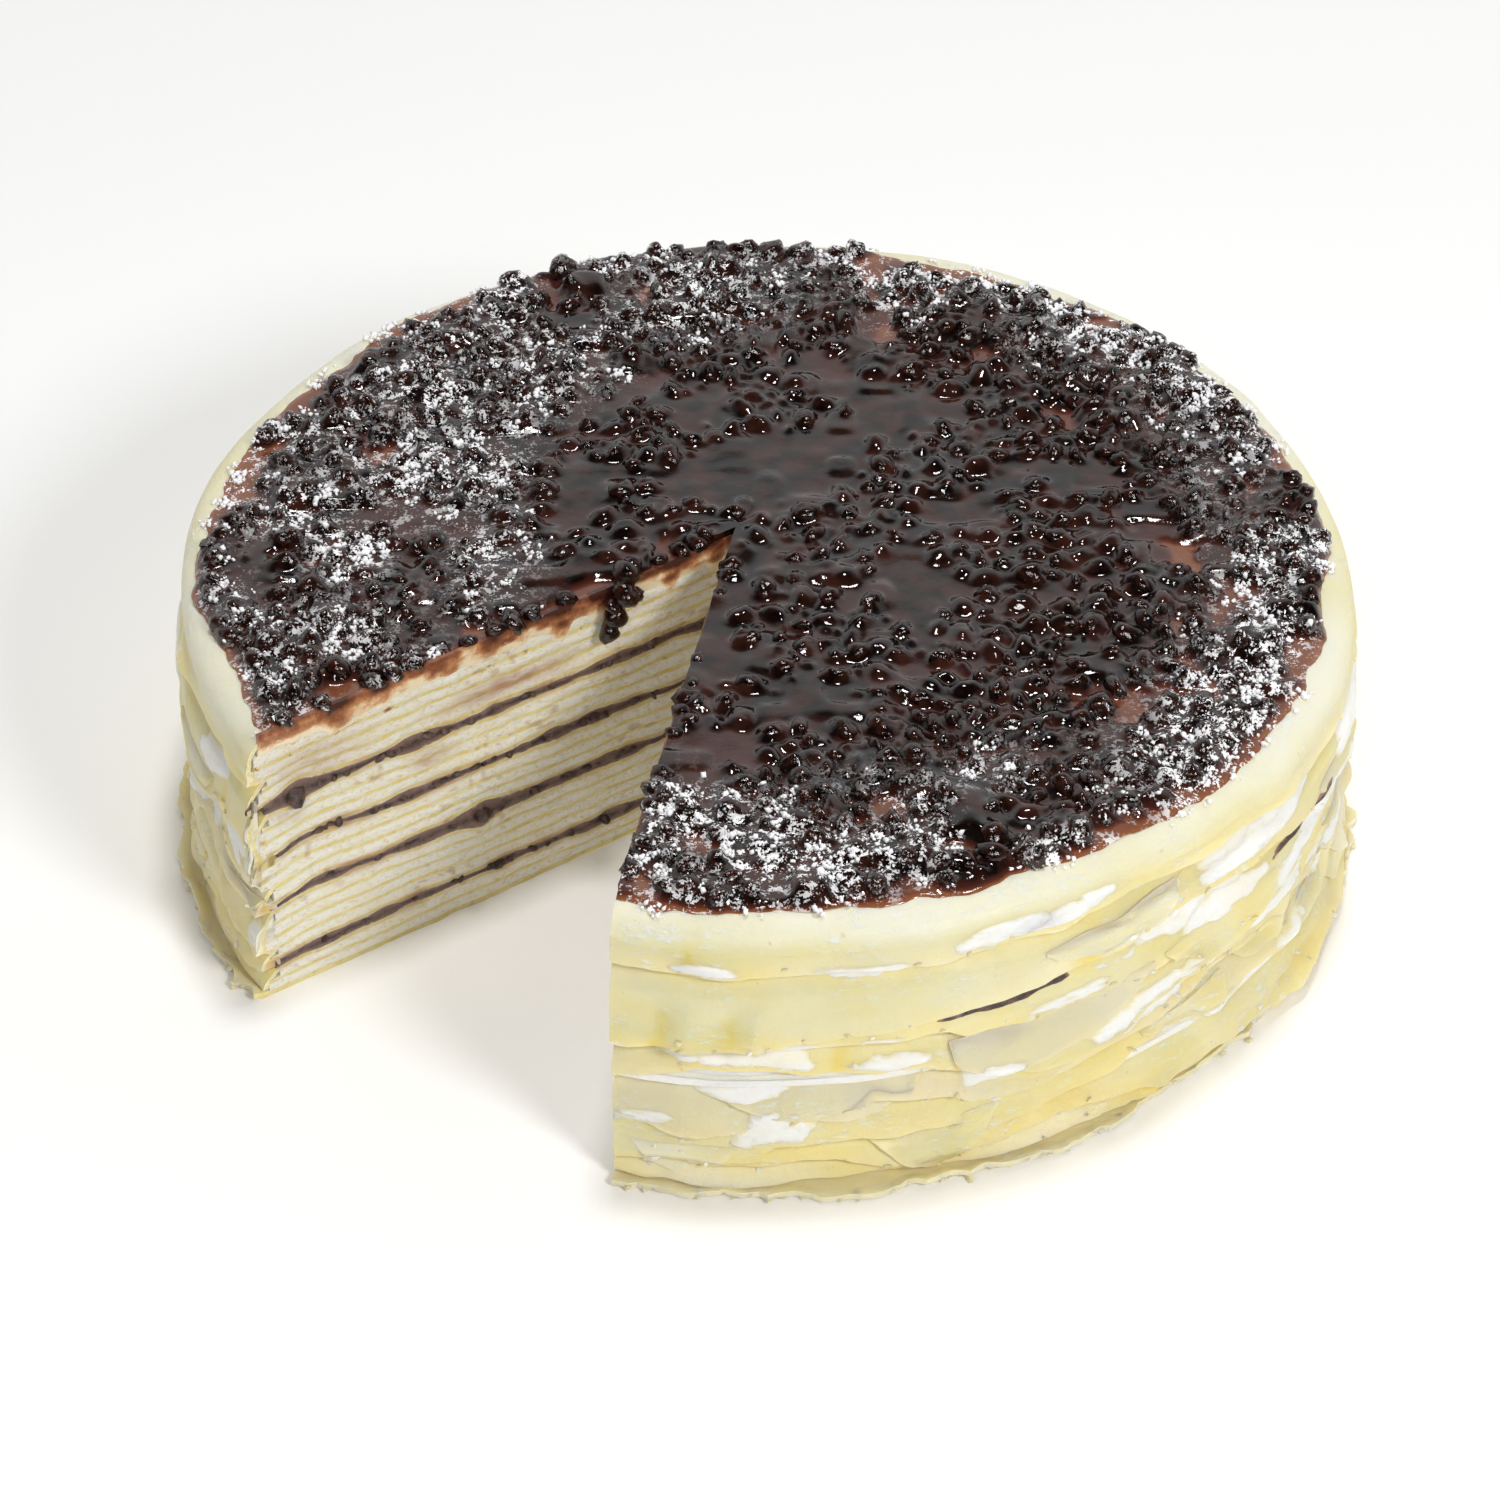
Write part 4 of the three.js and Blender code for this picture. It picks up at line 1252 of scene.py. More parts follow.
# %% Crumbs and drops
CRUMBS_PER_HEM, DROPS_PER_HEM, CRUMBS_ON_BRIM = 40, 45, 420
CRUMB_SIZES = 0.3, 0.8
CREAM_UNDER_HEM = {19: "cream_12", 16: "cream_10", 13: "cream_09", 10: "cream_07", 8: "cream_05",
                   5: "cream_03"}
crumb_ball = small_ball(4, 6)


def strew(node, number, count, spread, seed, **values):
    """Small dented balls near one hem, pressed onto the envelope."""
    random = np.random.default_rng(seed)
    column = random.integers(2, COLUMNS - 2, count)
    level = np.maximum(draped[number][2][column] + random.normal(0, spread, count), 1.0)
    size = random.uniform(*CRUMB_SIZES, count)
    flat = on_ray(rays[column], envelope[column, level_index(level)] - 0.1 * size)
    centres = np.column_stack([flat, level])
    radii = size[:, None] * [1.5, 0.8, 0.45]
    points, faces = turned_balls(crumb_ball, centres, radii, seed, 0.3)
    join_to(node, points, faces, **values)


for number in DROOPS:
    # Crumbs on the hems carry a little painted shade
    strew(f"crepe_{number:02d}", number, CRUMBS_PER_HEM, 0.7, 200 + number, tone=0.35, fold=0.1)
for number, node in CREAM_UNDER_HEM.items():
    strew(node, number, DROPS_PER_HEM, 1.6, 230 + number)
random = np.random.default_rng(29)
hem_columns = random.integers(2, COLUMNS - 2, CRUMBS_ON_BRIM)
hem_crumbs = on_ray(rays[hem_columns], hem_edge[hem_columns] - random.uniform(-0.2, 1.4, CRUMBS_ON_BRIM))
crumb_size = random.uniform(*CRUMB_SIZES, CRUMBS_ON_BRIM)
centres = np.column_stack([hem_crumbs, 0.4 * crumb_size + random.uniform(0, 1.0, CRUMBS_ON_BRIM)])
points, faces = turned_balls(crumb_ball, centres, crumb_size[:, None] * [1.3, 1.0, 0.4], 28, 0.3)
points[:, 2] = np.maximum(points[:, 2], 0)
join_to("crepe_01", points, faces, tone=0.3)

# %% [markdown]
# All that belongs to a layer is joined now, so each layer becomes one mesh and takes the place of its node in
# the CAD model.

# %% Make the pieces of the stack
for layer in layers:
    points, faces, finish_of, values = parts[layer["name"]]
    finishes = layer_finishes[layer["kind"]]
    piece = mesh_object(f"{layer['name']}_layer", points, faces, finishes, finish_of, values)
    dress(piece, layer["kind"], layer["name"])
print("triangles so far:", sum(piece_sizes.values()))

# %% [markdown]
# ## The glaze as a map of heights
# The top is a syrup of crushed beans with whole beans in it. Nothing in it overhangs, so one map of heights
# can hold it all. The map is a plain grid of 0.4 mm cells: every bean presses its rounded cap into the map,
# and a slight blur makes the syrup creep up its sides, as a real glaze does.

# %% Scatter the beans of the glaze
MAP_STEP = 0.4
MAP_HALF = 114.0
GLAZE_RADIUS = 105.2
MAP_COUNT = int(2 * MAP_HALF / MAP_STEP) + 1
map_axis = np.linspace(-MAP_HALF, MAP_HALF, MAP_COUNT)
map_x, map_y = np.meshgrid(map_axis, map_axis, indexing="ij")
map_radius = np.hypot(map_x, map_y)
GLAZE_TRIES = 16000
WHOLE_SHARE = 0.6
WHOLE_SIZES, BROKEN_SIZES = (2.0, 3.4), (0.9, 1.6)
WHOLE_APART, BROKEN_APART = 0.74, 0.5
GLAZE_REST = STACK_HEIGHT + SEAM


def glaze_edge(degrees):
    """Radius of the glaze's wavy edge."""
    turn = np.radians(degrees)
    fine = rough(np.cos(turn) * 16, np.sin(turn) * 16, 0, 91, 3)
    bays = 1.8 * hump(degrees, 197, 6) + 2.6 * hump(degrees, 142, 7) + 1.6 * hump(degrees, 60, 8)
    bays = bays + 1.5 * hump(degrees, 357, 8)
    wide = 4.5 * (1 - rim_roll(degrees))
    return GLAZE_RADIUS + wide + 1.6 * ripple(degrees, 5, [3, 8, 14]) + 1.5 * fine - bays


def cut_distance(x, y):
    """Distance to the nearer cut, negative over the missing slice."""
    spoke = np.stack([x, y], axis=-1) - TIP
    return np.maximum(spoke @ -cut_outward["first"], spoke @ -cut_outward["last"])


def thin_zone(x, y):
    """Where the syrup has run thin and carries no beans: along the left cut, at the rim and in puddles."""
    radius = np.hypot(x, y)
    spoke = np.stack([x, y], axis=-1) - TIP
    near_cut, along = -(spoke @ cut_outward["last"]), spoke @ cut_directions["last"]
    width = 3.2 + 4.2 * noise(along / 11, 0, 0, 90) + 2.0 * ease(30, 60, along)
    zone = ease(width + 1.5, width - 1.5, near_cut) * ease(6, 14, along) * (near_cut > -2)
    rim_width = 1.4 + 4.0 * noise(x / 12, y / 12, 0, 89)
    edge = glaze_edge(bearing(x, y)) - radius
    wet = noise(x / 11, y / 11, 4, 88) + 0.25 * noise(x / 3, y / 3, 4, 87)
    puddles = ease(0.4, 0.65, wet) * ease(58, 80, radius)
    return np.maximum.reduce([zone, ease(rim_width + 1.5, rim_width - 1.5, edge), puddles])


map_degrees = bearing(map_x, map_y)
thin = thin_zone(map_x, map_y)
room = np.minimum(glaze_edge(map_degrees) - map_radius, cut_distance(map_x, map_y))
crowding = 0.35 + 0.9 * noise(map_x / 12, map_y / 12, 0, 92) + 0.4 * ease(45, 85, map_radius)


def map_cell(x, y):
    """The map's cell at a point."""
    return int((x + MAP_HALF) / MAP_STEP), int((y + MAP_HALF) / MAP_STEP)


def scatter_beans():
    """Centre, radii and turn of every bean in the glaze: whole ones apart, broken bits anywhere."""
    random = np.random.default_rng(11)
    kept = np.zeros((0, 6))
    for attempt in range(GLAZE_TRIES):
        radius, degrees = (GLAZE_RADIUS + 0.8) * np.sqrt(random.random()), random.uniform(0, 360)
        x, y = radius * np.cos(np.radians(degrees)), radius * np.sin(np.radians(degrees))
        broken = attempt > WHOLE_SHARE * GLAZE_TRIES
        half = random.uniform(*(BROKEN_SIZES if broken else WHOLE_SIZES))
        cell = map_cell(x, y)
        if room[cell] < half * 0.65 or random.random() > crowding[cell] or thin[cell] > 0.5:
            continue
        apart = BROKEN_APART if broken else WHOLE_APART
        if len(kept) and np.any(np.hypot(kept[:, 0] - x, kept[:, 1] - y) < apart * (kept[:, 2] + half)):
            continue
        short_half, tall = half * random.uniform(0.6, 0.85), half * random.uniform(0.42, 0.62)
        kept = np.vstack([kept, [x, y, half, short_half, tall, random.uniform(0, np.pi)]])
    return kept


glaze_beans = scatter_beans()
print("beans in the glaze:", len(glaze_beans))

# %% [markdown]
# The syrup itself pools unevenly. It is thickest between the beans in the middle, and thins to a see-through
# film at the rim. `depth` is kept for the finish, because thin syrup looks orange brown and deep syrup black.

# %% Heights of the glaze


def blurred(grid, passes):
    """Softens a map in both directions."""
    for _ in range(passes):
        for axis in (0, 1):
            grid = (np.roll(grid, 1, axis) + 2 * grid + np.roll(grid, -1, axis)) / 4
    return grid


def crepe_drop(inset, roll):
    """How far the top crepe has turned down at a given inset from the side."""
    past = np.clip(1 - inset / (ROLL_WIDTH * roll), 0, 1)
    return ROLL_FALL * roll * (1 - np.sqrt(1 - past ** 2 * 0.98))


map_side = side_at(map_degrees)
map_base = GLAZE_REST - crepe_drop(map_side - map_radius, rim_roll(map_degrees))
FILM_DEPTH, MOUND_HEIGHT, LEAST_FILM = 0.9, 1.9, 0.3
DEEPEST_GLAZE = 5.2
film = FILM_DEPTH + 0.45 * rough(map_x / 12, map_y / 12, 0, 93, 2)
film = film + 0.12 * noise(map_x / 3.5, map_y / 3.5, 0, 94)
mounds = MOUND_HEIGHT * ease(0.05, 0.6, noise(map_x / 9, map_y / 9, 0, 96)) * ease(55, 88, map_radius)
mounds = mounds + 0.6 * ease(0.0, 0.6, noise(map_x / 7, map_y / 7, 0, 97))
film = np.maximum(film + 0.4 * ease(75, 25, map_radius), LEAST_FILM)
film = film + mounds * ease(1.0, 5.0, 106 - map_radius)
film = film * (1 - 0.78 * thin)
map_bean = np.zeros_like(film)
for x, y, long_half, short_half, tall, turn in glaze_beans:
    reach_cells = int(long_half / MAP_STEP) + 2
    window = tuple(slice(max(index - reach_cells, 0), index + reach_cells + 1) for index in map_cell(x, y))
    dx, dy = map_x[window] - x, map_y[window] - y
    along = dx * np.cos(turn) + dy * np.sin(turn)
    across = -dx * np.sin(turn) + dy * np.cos(turn)
    round_off = 1 - (along / long_half) ** 2 - (across / short_half) ** 2
    lump = 1 + 0.16 * noise(map_x[window] / 1.3, map_y[window] / 1.3, 0, 95)
    cap = (0.35 + 1.05 * tall * np.clip(round_off, 0, 1) ** 0.4) * lump * (round_off > 0)
    map_bean[window] = np.maximum(map_bean[window], cap)
map_bean = blurred(map_bean, 1)
creep = blurred(map_bean, 3)
map_depth = np.maximum(film + 0.45 * creep, map_bean + 0.7 * film)
map_depth = np.minimum(map_depth, DEEPEST_GLAZE + 0.25 * (map_depth - DEEPEST_GLAZE))
print("glaze up to", round(float(map_depth.max()), 2), "mm deep")


def read_map(grid, x, y):
    """Value of a map between its cells."""
    px = np.clip((x + MAP_HALF) / MAP_STEP, 0, MAP_COUNT - 1.001)
    py = np.clip((y + MAP_HALF) / MAP_STEP, 0, MAP_COUNT - 1.001)
    i, j = px.astype(int), py.astype(int)
    s, t = px - i, py - j
    return (grid[i, j] * (1 - s) * (1 - t) + grid[i + 1, j] * s * (1 - t)
            + grid[i, j + 1] * (1 - s) * t + grid[i + 1, j + 1] * s * t)


# %% [markdown]
# A fan of rays has points far too close together at the tip and too far apart at the rim. So the number of
# columns doubles each time the rays have spread to twice their distance, and triangles join the two.

# %% Rings of the glaze
GLAZE_STEP = 0.7
GLAZE_BANDS = 4


def fan_rings():
    """Columns and share of the way out for every ring, and the columns double from band to band."""
    rings = []
    round_length = np.radians(LAST_CUT - FIRST_CUT) * 0.93 * CAKE_RADIUS
    innermost = int(round_length / GLAZE_STEP) // 2 ** (GLAZE_BANDS - 1)
    starts = [CAKE_RADIUS * 2.0 ** -(GLAZE_BANDS - band) for band in range(GLAZE_BANDS)]
    starts[0] = GLAZE_STEP
    for band in range(GLAZE_BANDS):
        start = starts[band]
        end = starts[band + 1] if band + 1 < GLAZE_BANDS else CAKE_RADIUS
        count = max(int((end - start) / GLAZE_STEP), 2)
        columns = innermost * 2 ** band + 1
        rings += [(columns, share / CAKE_RADIUS) for share in np.linspace(start, end, count, endpoint=False)]
    rings.append((columns, 1.0))
    return rings


def ring_points(columns, share):
    """Points of the plan on one ring, at its share of the way from the tip to the glaze's edge."""
    ring_rays = direction_of(np.linspace(FIRST_CUT, LAST_CUT, columns))
    edge_guess = on_ray(ring_rays, np.full(columns, GLAZE_RADIUS - 0.2))
    ends = reach(ring_rays, glaze_edge(bearing(*edge_guess.T)))
    return TIP + ring_rays * (ends * share)[:, None]


def fan_faces(ring_index):
    """Faces from the tip outwards: squares between like rings, and three triangles where columns double."""
    faces = [[0, int(a), int(b)] for a, b in zip(ring_index[0][:-1], ring_index[0][1:])]
    for inner, outer in zip(ring_index[:-1], ring_index[1:]):
        if len(inner) == len(outer):
            groups = [(inner[:-1], outer[:-1], outer[1:], inner[1:])]
        else:
            groups = [(inner[:-1], outer[:-2:2], outer[1:-1:2]), (inner[:-1], outer[1:-1:2], inner[1:]),
                      (inner[1:], outer[1:-1:2], outer[2::2])]
        for corners in groups:
            faces += np.stack(corners, axis=1).tolist()
    return faces


rings = fan_rings()
flat_points = np.concatenate([np.array([TIP])] + [ring_points(*ring) for ring in rings])
firsts = 1 + np.cumsum([0] + [columns for columns, _ in rings])
ring_index = [np.arange(first, following) for first, following in zip(firsts[:-1], firsts[1:])]
faces = fan_faces(ring_index)
print("glaze rings:", len(rings), "with", len(ring_index[0]), "to", len(ring_index[-1]), "columns")

# %% [markdown]
# The upper face takes its heights from the maps. A wall goes round the border, and one many-sided face closes
# the underside, which lies on the top crepe. Points of the underside that no face uses are left out.

# %% The glaze mesh
glaze_x, glaze_y = flat_points.T
edge_away = glaze_edge(bearing(glaze_x, glaze_y)) - np.hypot(glaze_x, glaze_y)
near_edge = ease(-0.1, 1.3, edge_away)
glaze_base = read_map(map_base, glaze_x, glaze_y)
glaze_depth = read_map(map_depth, glaze_x, glaze_y) * near_edge
upper = raised(flat_points, glaze_base + glaze_depth)
lower = raised(flat_points, glaze_base - 0.05)
first_edge, last_edge = ([ring[end] for ring in ring_index] for end in (0, -1))
border = np.array([0, *first_edge, *ring_index[-1][1:-1], *last_edge[::-1]])
count = len(flat_points)
walls = np.stack([border, border + count, np.roll(border, -1) + count, np.roll(border, -1)], axis=1)
under_cap = [int(index) + count for index in border[::-1]]
used = np.unique(np.concatenate([np.arange(count), border + count]))
renumber = np.full(2 * count, -1)
renumber[used] = np.arange(len(used))
all_faces = [[int(renumber[index]) for index in face] for face in faces + walls.tolist() + [under_cap]]
glaze_all = np.concatenate([upper, lower])[used]
glaze_depths = np.concatenate([glaze_depth, glaze_depth])[used]
print("glaze mesh:", sum(len(face) - 2 for face in all_faces), "triangles")

# %% [markdown]
# ## Dusting of sugar
# Sugar was sifted round the outer part of the cake and left the middle clear. Most of it sits in small clumps
# of grains, which are real bits of mesh, and between them lies a fine dust, which the glaze's finish paints
# where the mesh carries `dust`.

# %% Where sugar lies


def sugar_amount(x, y):
    """From 0 to 1: none round the middle, most in a ring near the rim, and patchy."""
    away = np.hypot(x - 12, y - 3)
    degrees = bearing(x, y)
    inner = 62 - 14 * hump(degrees, 185, 50) + 6 * hump(degrees, 75, 35)
    band = ease(inner, inner + 26, away)
    patches = 0.55 + 0.75 * noise(x / 13, y / 13, 0, 101)
    return np.clip(band * patches, 0, 1)


glaze_dust = np.clip(1.15 * sugar_amount(glaze_all[:, 0], glaze_all[:, 1]), 0, 1)
print("share of the glaze with sugar:", round(float((glaze_dust > 0.1).mean()), 2))

# %% [markdown]
# ### Glaze
# Syrup is nearly a mirror, so its finish is dark and smooth, and its look comes from what it mirrors. Where
# it is thin, orange brown shows through. Sugar dust is rough and white, and lies in specks and small flakes.

# %% Glaze finishes


def dusting(tree):
    """Mask of fine dust: specks, and flakes that gather in small patches where the mesh carries dust."""
    fine = grain(tree, 0.5, 1, 0.6)
    coarse = grain(tree, 2.2, 4, 0.7)
    speck = times(tree, between(tree, fine, 0.54, 0.6), between(tree, coarse, 0.47, 0.56))
    flake = between(tree, plus(tree, coarse, times(tree, fine, 0.25)), 0.69, 0.72)
    return times(tree, wire(tree, "ShaderNodeMath", {0: speck, 1: flake}, operation="MAXIMUM").outputs[0],
                 stored(tree, "dust"))


def glaze_look(tree):
    depth = stored(tree, "depth")
    wrinkle = grain(tree, 1.6, 3, 0.6)
    deep = blend(tree, between(tree, grain(tree, 5, 2), 0.4, 0.66), paint(14, 6, 4), paint(54, 27, 20))
    colour = blend(tree, between(tree, depth, 0.05, 0.35), paint(140, 86, 56), paint(90, 46, 32))
    colour = blend(tree, between(tree, depth, 0.3, 0.6), colour, paint(66, 32, 24))
    colour = blend(tree, between(tree, depth, 0.6, 1.1), colour, deep)
    powder = dusting(tree)
    colour = blend(tree, powder, colour, paint(250, 249, 250))
    height = plus(tree, wrinkle, times(tree, powder, 0.4))
    return {"Base Color": colour, "Roughness": between(tree, powder, 0, 1, 0.07, 0.9),
            "Normal": bumpy(tree, height, 0.12, 0.5), "IOR": 1.5}


def drawn_look(tree):
    depth = plus(tree, stored(tree, "depth"), between(tree, grain(tree, 2.0, 4, 0.7), 0.3, 0.7, -0.12, 0.12))
    colour = blend(tree, between(tree, depth, -0.05, 0.15), paint(244, 226, 190), paint(206, 152, 104))
    colour = blend(tree, between(tree, depth, 0.12, 0.34), colour, paint(148, 90, 60))
    colour = blend(tree, between(tree, depth, 0.34, 0.6), colour, paint(70, 36, 27))
    return {"Base Color": colour, "Roughness": 0.22, "Normal": bumpy(tree, grain(tree, 1.2, 3), 0.5, 0.4)}


glaze_finish = new_finish("bean glaze", glaze_look)
drawn_finish = new_finish("drawn glaze", drawn_look)
glaze = mesh_object("bean_glaze_top", glaze_all, all_faces, [glaze_finish],
                    values={"depth": glaze_depths, "dust": glaze_dust}, crease=75)

# %% [markdown]
# ## Glaze that ran over the cut
# When the slice was lifted out, a thin skin of glaze was drawn down over the top of the left-hand cut, and a
# few beans slid over the edge and hang there. The skin is a lens over an uneven outline, like the smears of
# cream.

# %% Drips over the cuts
DRIP_TOP = GLAZE_REST + 0.6
DRIP_COLUMNS, DRIP_ROWS = 190, 16
HIGHEST_BEAN = GLAZE_REST + 6.1


def drip_patch(side, seed):
    """A thin skin of glaze on the top edge of one cut."""
    ray, outward = cut_directions[side], cut_outward[side]
    along = np.linspace(1.0, GLAZE_RADIUS + 1.3, DRIP_COLUMNS)[:, None]
    part = np.linspace(0, 1, DRIP_ROWS)[None, :]
    lower_edge = 57.0 + 1.6 * rough(along / 7, seed, 0, 111)
    lower_edge = lower_edge - 3.4 * np.maximum(0, noise(along / 5, seed + 5, 0, 112) - 0.2)
    lower_edge = lower_edge - 3.0 * np.exp(-((along - 30) / 4) ** 2) * (side == "last")
    heights = DRIP_TOP + (lower_edge - 1.6 - DRIP_TOP) * part
    skin = 0.32 * np.tanh((heights - lower_edge) / 1.2) + 0.12 * noise(along / 3, heights / 2, seed, 113)
    skin = np.where(part == 0, 0.15, skin)
    flat = TIP + along[..., None] * ray
    outer = raised(flat + (0.1 + skin)[..., None] * outward, heights)
    inner = raised(np.repeat(flat - PATCH_SINK * outward, 2, axis=1), heights[:, [0, -1]])
    depth = 0.34 * (heights - lower_edge) / 3 + 0.22 * noise(along / 4, heights / 1.5, seed, 114)
    return outer, inner, depth


# Beans over the left-hand edge, as in the CAD: distance from the tip, out of the cut, height, radius
HANGING_BEANS = [
    (26.0, 1.0, 62.6, 3.0), (27.5, 3.0, 60.0, 2.8), (29.5, 2.9, 56.2, 2.6), (31.0, 2.6, 52.8, 2.3),
    (25.0, 2.4, 58.6, 1.9), (30.6, 3.2, 58.6, 1.7),
]
# Beans at both edges: distance from the tip, radius
EDGE_BEANS = [
    (46, 2.3), (50, 2.8), (54, 2.0), (72, 2.4), (77, 2.9), (81, 2.5), (12, 2.2), (8, 2.6), (17, 1.9),
    (92, 2.1), (60, 1.8), (38, 2.1), (100, 2.2),
]

extra_points, extra_faces, extra_depth = [], [], []
for side, seed in (("last", 1), ("first", 9)):
    outer, inner, depth = drip_patch(side, seed)
    if side == "first":
        outer, inner, depth = outer[::-1], inner[::-1], depth[::-1]
    patch_points, patch_faces = closed_patch(outer, inner)
    offset = sum(len(part) for part in extra_points)
    extra_points.append(patch_points)
    extra_faces += [[index + offset for index in face] for face in patch_faces]
    extra_depth.append(np.concatenate([depth.ravel(), depth[:, [0, -1]].ravel()]))
drip_depths = np.concatenate(extra_depth)
drip = mesh_object("glaze_drips", np.concatenate(extra_points), extra_faces, [drawn_finish],
                   values={"depth": drip_depths})
dress(drip, "glaze")

# %% [markdown]
# Whole beans are balls of their own, pressed into the glaze. They hang over the left-hand edge, lie along
# both edges, and sit on more than half of the large beans of the map, a little prouder towards the rim.

# %% Whole beans
centres, radii = [], []
for along, out, height, size in HANGING_BEANS:
    centres.append([*(TIP + along * cut_directions["last"] + out * cut_outward["last"]), height])
    radii.append([size, size * 0.86, size * 0.92])
for along, size in EDGE_BEANS:
    for side in ("last", "first"):
        shift = 3.0 if side == "first" else 0.0
        spot = TIP + (along + shift) * cut_directions[side] - 0.5 * size * cut_outward[side]
        centres.append([*spot, GLAZE_REST + 0.9])
        radii.append([size, size * 0.75, size * 0.7])
whole = glaze_beans[glaze_beans[:, 2] > 1.9]
shown_share = 0.55 + 0.3 * ease(40, 80, np.hypot(whole[:, 0], whole[:, 1]))
pick = np.random.default_rng(5).random(len(whole)) < shown_share
turns_known = list(np.random.default_rng(6).uniform(0, np.pi, len(centres)))
for x, y, long_half, short_half, tall, turn in whole[pick]:
    turns_known.append(turn)
    surface = float(read_map(map_base + map_depth, np.array(x), np.array(y)))
    height = 1.25 * tall + 0.45
    proud = 0.4 + 0.4 * float(ease(45, 80, np.hypot(x, y)))
    centres.append([x, y, min(surface + proud, HIGHEST_BEAN) - height])
    radii.append([long_half * 0.95, short_half * 0.98, height])
bean_ball = small_ball(8, 12)
bean_points, bean_faces = turned_balls(bean_ball, np.array(centres), np.array(radii), 21, 0.3, turns_known)
print("whole beans:", len(centres))


def bean_look(tree):
    skin = grain(tree, 1.6, 4, 0.6)
    colour = blend(tree, between(tree, skin, 0.4, 0.68), paint(8, 4, 3), paint(56, 25, 15))
    powder = dusting(tree)
    colour = blend(tree, powder, colour, paint(250, 249, 250))
    return {"Base Color": colour, "Roughness": between(tree, powder, 0, 1, 0.08, 0.9),
            "Normal": bumpy(tree, skin, 0.35, 0.6), "IOR": 1.5}


bean_finish = new_finish("glazed bean", bean_look)
bean_dust = np.clip(1.2 * sugar_amount(bean_points[:, 0], bean_points[:, 1]), 0, 1)
beans = mesh_object("whole_beans", bean_points, bean_faces, [bean_finish],
                    values={"dust": bean_dust}, crease=80)
dress(beans, "glaze")
dress(glaze, "glaze", "bean_glaze")

# %% [markdown]
# The clumps of sugar are joined bits with few faces. Each one drops onto the glaze's map, so that it lies on
# beans and in hollows alike. Clumps gather round a few centres, because a sifter drops them in bursts.

# %% Clumps of sugar
CLUMP_TRIES = 7000
GRAINS_MOST = 17


def scatter_sugar():
    """Centres and radii of the clumps' grains, bursts of them round scattered places."""
    random = np.random.default_rng(23)
    radius = 108 * np.sqrt(random.random(CLUMP_TRIES))
    turn = random.uniform(0, 2 * np.pi, CLUMP_TRIES)
    x, y = radius * np.cos(turn), radius * np.sin(turn)
    wanted = sugar_amount(x, y) * ease(-0.35, 0.4, noise(x / 4, y / 4, 0, 121))
    keep = random.random(CLUMP_TRIES) < 0.75 * wanted
    grains = 1 + (GRAINS_MOST * random.random(keep.sum()) ** 2.0).astype(int)
    spread = 0.27 * np.sqrt(grains)
    x, y = (np.repeat(part[keep], grains) + np.repeat(spread, grains) * random.normal(0, 1, grains.sum())
            for part in (x, y))
    inside = (glaze_edge(bearing(x, y)) - np.hypot(x, y) > -1.5) & (cut_distance(x, y) > 0.5)
    x, y = x[inside], y[inside]
    size = 0.26 + 0.5 * random.random(len(x)) ** 1.6
    height = read_map(map_base + map_depth, x, y) + 0.4 * size
    width, thickness = (size * random.uniform(*ends, len(x)) for ends in ((0.7, 1), (0.6, 0.9)))
    radii = np.column_stack([size, width, thickness])
    return np.column_stack([x, y, height]), radii


def sugar_look(tree):
    fine = grain(tree, 0.4, 1)
    return {"Base Color": blend(tree, fine, paint(254, 254, 254), paint(242, 242, 245)), "Roughness": 0.85}


sugar_finish = new_finish("sifted sugar", sugar_look)
clump = small_ball(3, 4)
sugar_points, sugar_faces = turned_balls(clump, *scatter_sugar(), 31, 0.35)
sugar = mesh_object("sugar_clumps", sugar_points, sugar_faces, [sugar_finish], crease=180)
dress(sugar, "glaze")
print("sugar clumps:", len(sugar_points) // len(clump[0]))
print("triangles in all:", sum(piece_sizes.values()), "largest:", max(piece_sizes, key=piece_sizes.get))

# %% [markdown]
# ## Studio
# The cake stands on a plain pale floor. The light behind it is a low bright band under a dark ceiling, which
# gives the wet glaze a grey sheen: the camera sees the band's upper end mirrored in every level spot, and
# darkness in the slopes that face it. Three soft lamps do the rest. One in front and one on the right light
# the cut and the side, one overhead lights the top, and all leave small sharp highlights on the beans.

# %% Floor, lamps and world
floor_mesh = bpy.data.meshes.new("floor")
FLOOR_HALF = 4
corners = [(x * FLOOR_HALF, y * FLOOR_HALF, 0) for x, y in ((-1, -1), (1, -1), (1, 1), (-1, 1))]
floor_mesh.from_pydata(corners, [], [(0, 1, 2, 3)])
floor = bpy.data.objects.new("floor", floor_mesh)
bpy.context.scene.collection.objects.link(floor)
floor_finish = new_finish("pale floor", lambda tree: {"Base Color": paint(253, 253, 252), "Roughness": 0.7})
floor_mesh.materials.append(floor_finish)


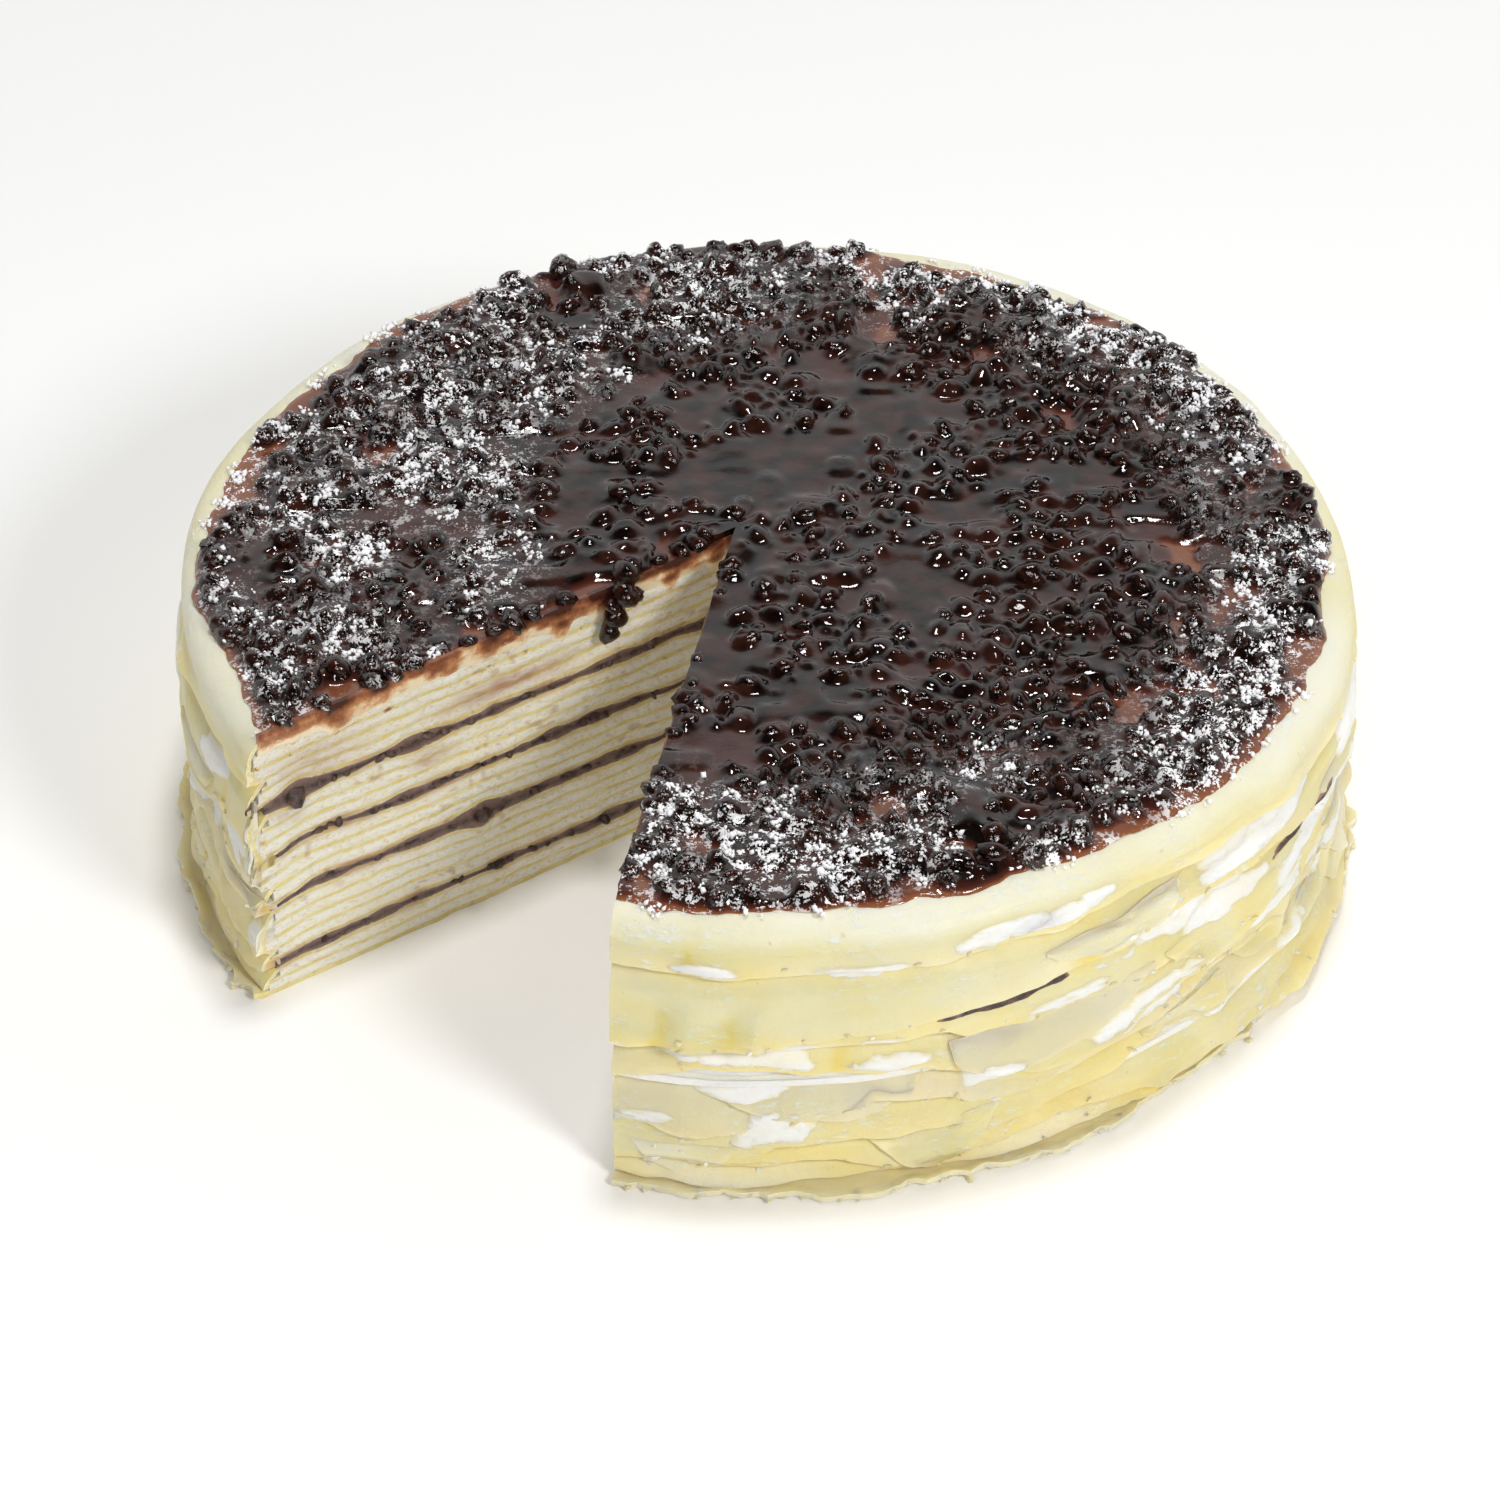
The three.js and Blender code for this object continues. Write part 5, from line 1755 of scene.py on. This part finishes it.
def lamp(name, spot, aim, size, power):
    """A round soft lamp, turned towards its aim."""
    light = bpy.data.lights.new(name, "AREA")
    light.shape = "DISK"
    light.size = size
    light.energy = power
    holder = bpy.data.objects.new(name, light)
    holder.location = spot
    holder.rotation_euler = (Vector(aim) - Vector(spot)).to_track_quat("-Z", "Y").to_euler()
    bpy.context.scene.collection.objects.link(holder)


lamp("front lamp", (-0.25, -1.45, 1.3), (0, 0, 0.03), 0.4, 8)
lamp("right lamp", (0.95, -1.2, 1.15), (0, 0, 0.03), 0.5, 17.5)
lamp("top lamp", (0.1, 0.2, 2.2), (0, 0.2, 0), 0.4, 19)

world = bpy.data.worlds.new("studio")
bpy.context.scene.world = world
world.use_nodes = True
world_tree = world.node_tree
world_tree.nodes.clear()
look = wire(world_tree, "ShaderNodeTexCoord").outputs["Generated"]
sight = wire(world_tree, "ShaderNodeSeparateXYZ", {"Vector": look})
backdrop = between(world_tree, sight.outputs["Y"], 0.0, 0.5, 0.06, 0.92)
ceiling = between(world_tree, sight.outputs["Z"], 0.66, 0.88, 1.0, 0.12)
background = wire(world_tree, "ShaderNodeBackground", {"Color": times(world_tree, backdrop, ceiling)})
wire(world_tree, "ShaderNodeOutputWorld", {"Surface": background.outputs["Background"]})
bpy.context.scene.view_settings.view_transform = "Standard"

# %% [markdown]
# ## Camera
# The camera was solved from the photo: it stands 1.14 m away, 38 degrees above the table, with a long lens,
# so the rim looks almost like a true ellipse.

# %% Camera
CAMERA_AIM = Vector((-0.0032, 0, 0.0146))
CAMERA_DISTANCE = 1.145
CAMERA_ELEVATION = np.radians(37.8)
FOCAL_PIXELS, IMAGE_PIXELS, SENSOR_MM = 5957.0, 1500.0, 36.0
camera_data = bpy.data.cameras.new("camera")
camera_data.sensor_width = SENSOR_MM
camera_data.lens = SENSOR_MM * FOCAL_PIXELS / IMAGE_PIXELS
camera = bpy.data.objects.new("camera", camera_data)
camera_direction = Vector((0, -np.cos(CAMERA_ELEVATION), np.sin(CAMERA_ELEVATION)))
camera.location = CAMERA_AIM + CAMERA_DISTANCE * camera_direction
camera.rotation_euler = (-camera_direction).to_track_quat("-Z", "Y").to_euler()
bpy.context.scene.collection.objects.link(camera)
bpy.context.scene.camera = camera
print("lens, mm:", round(camera_data.lens, 1))
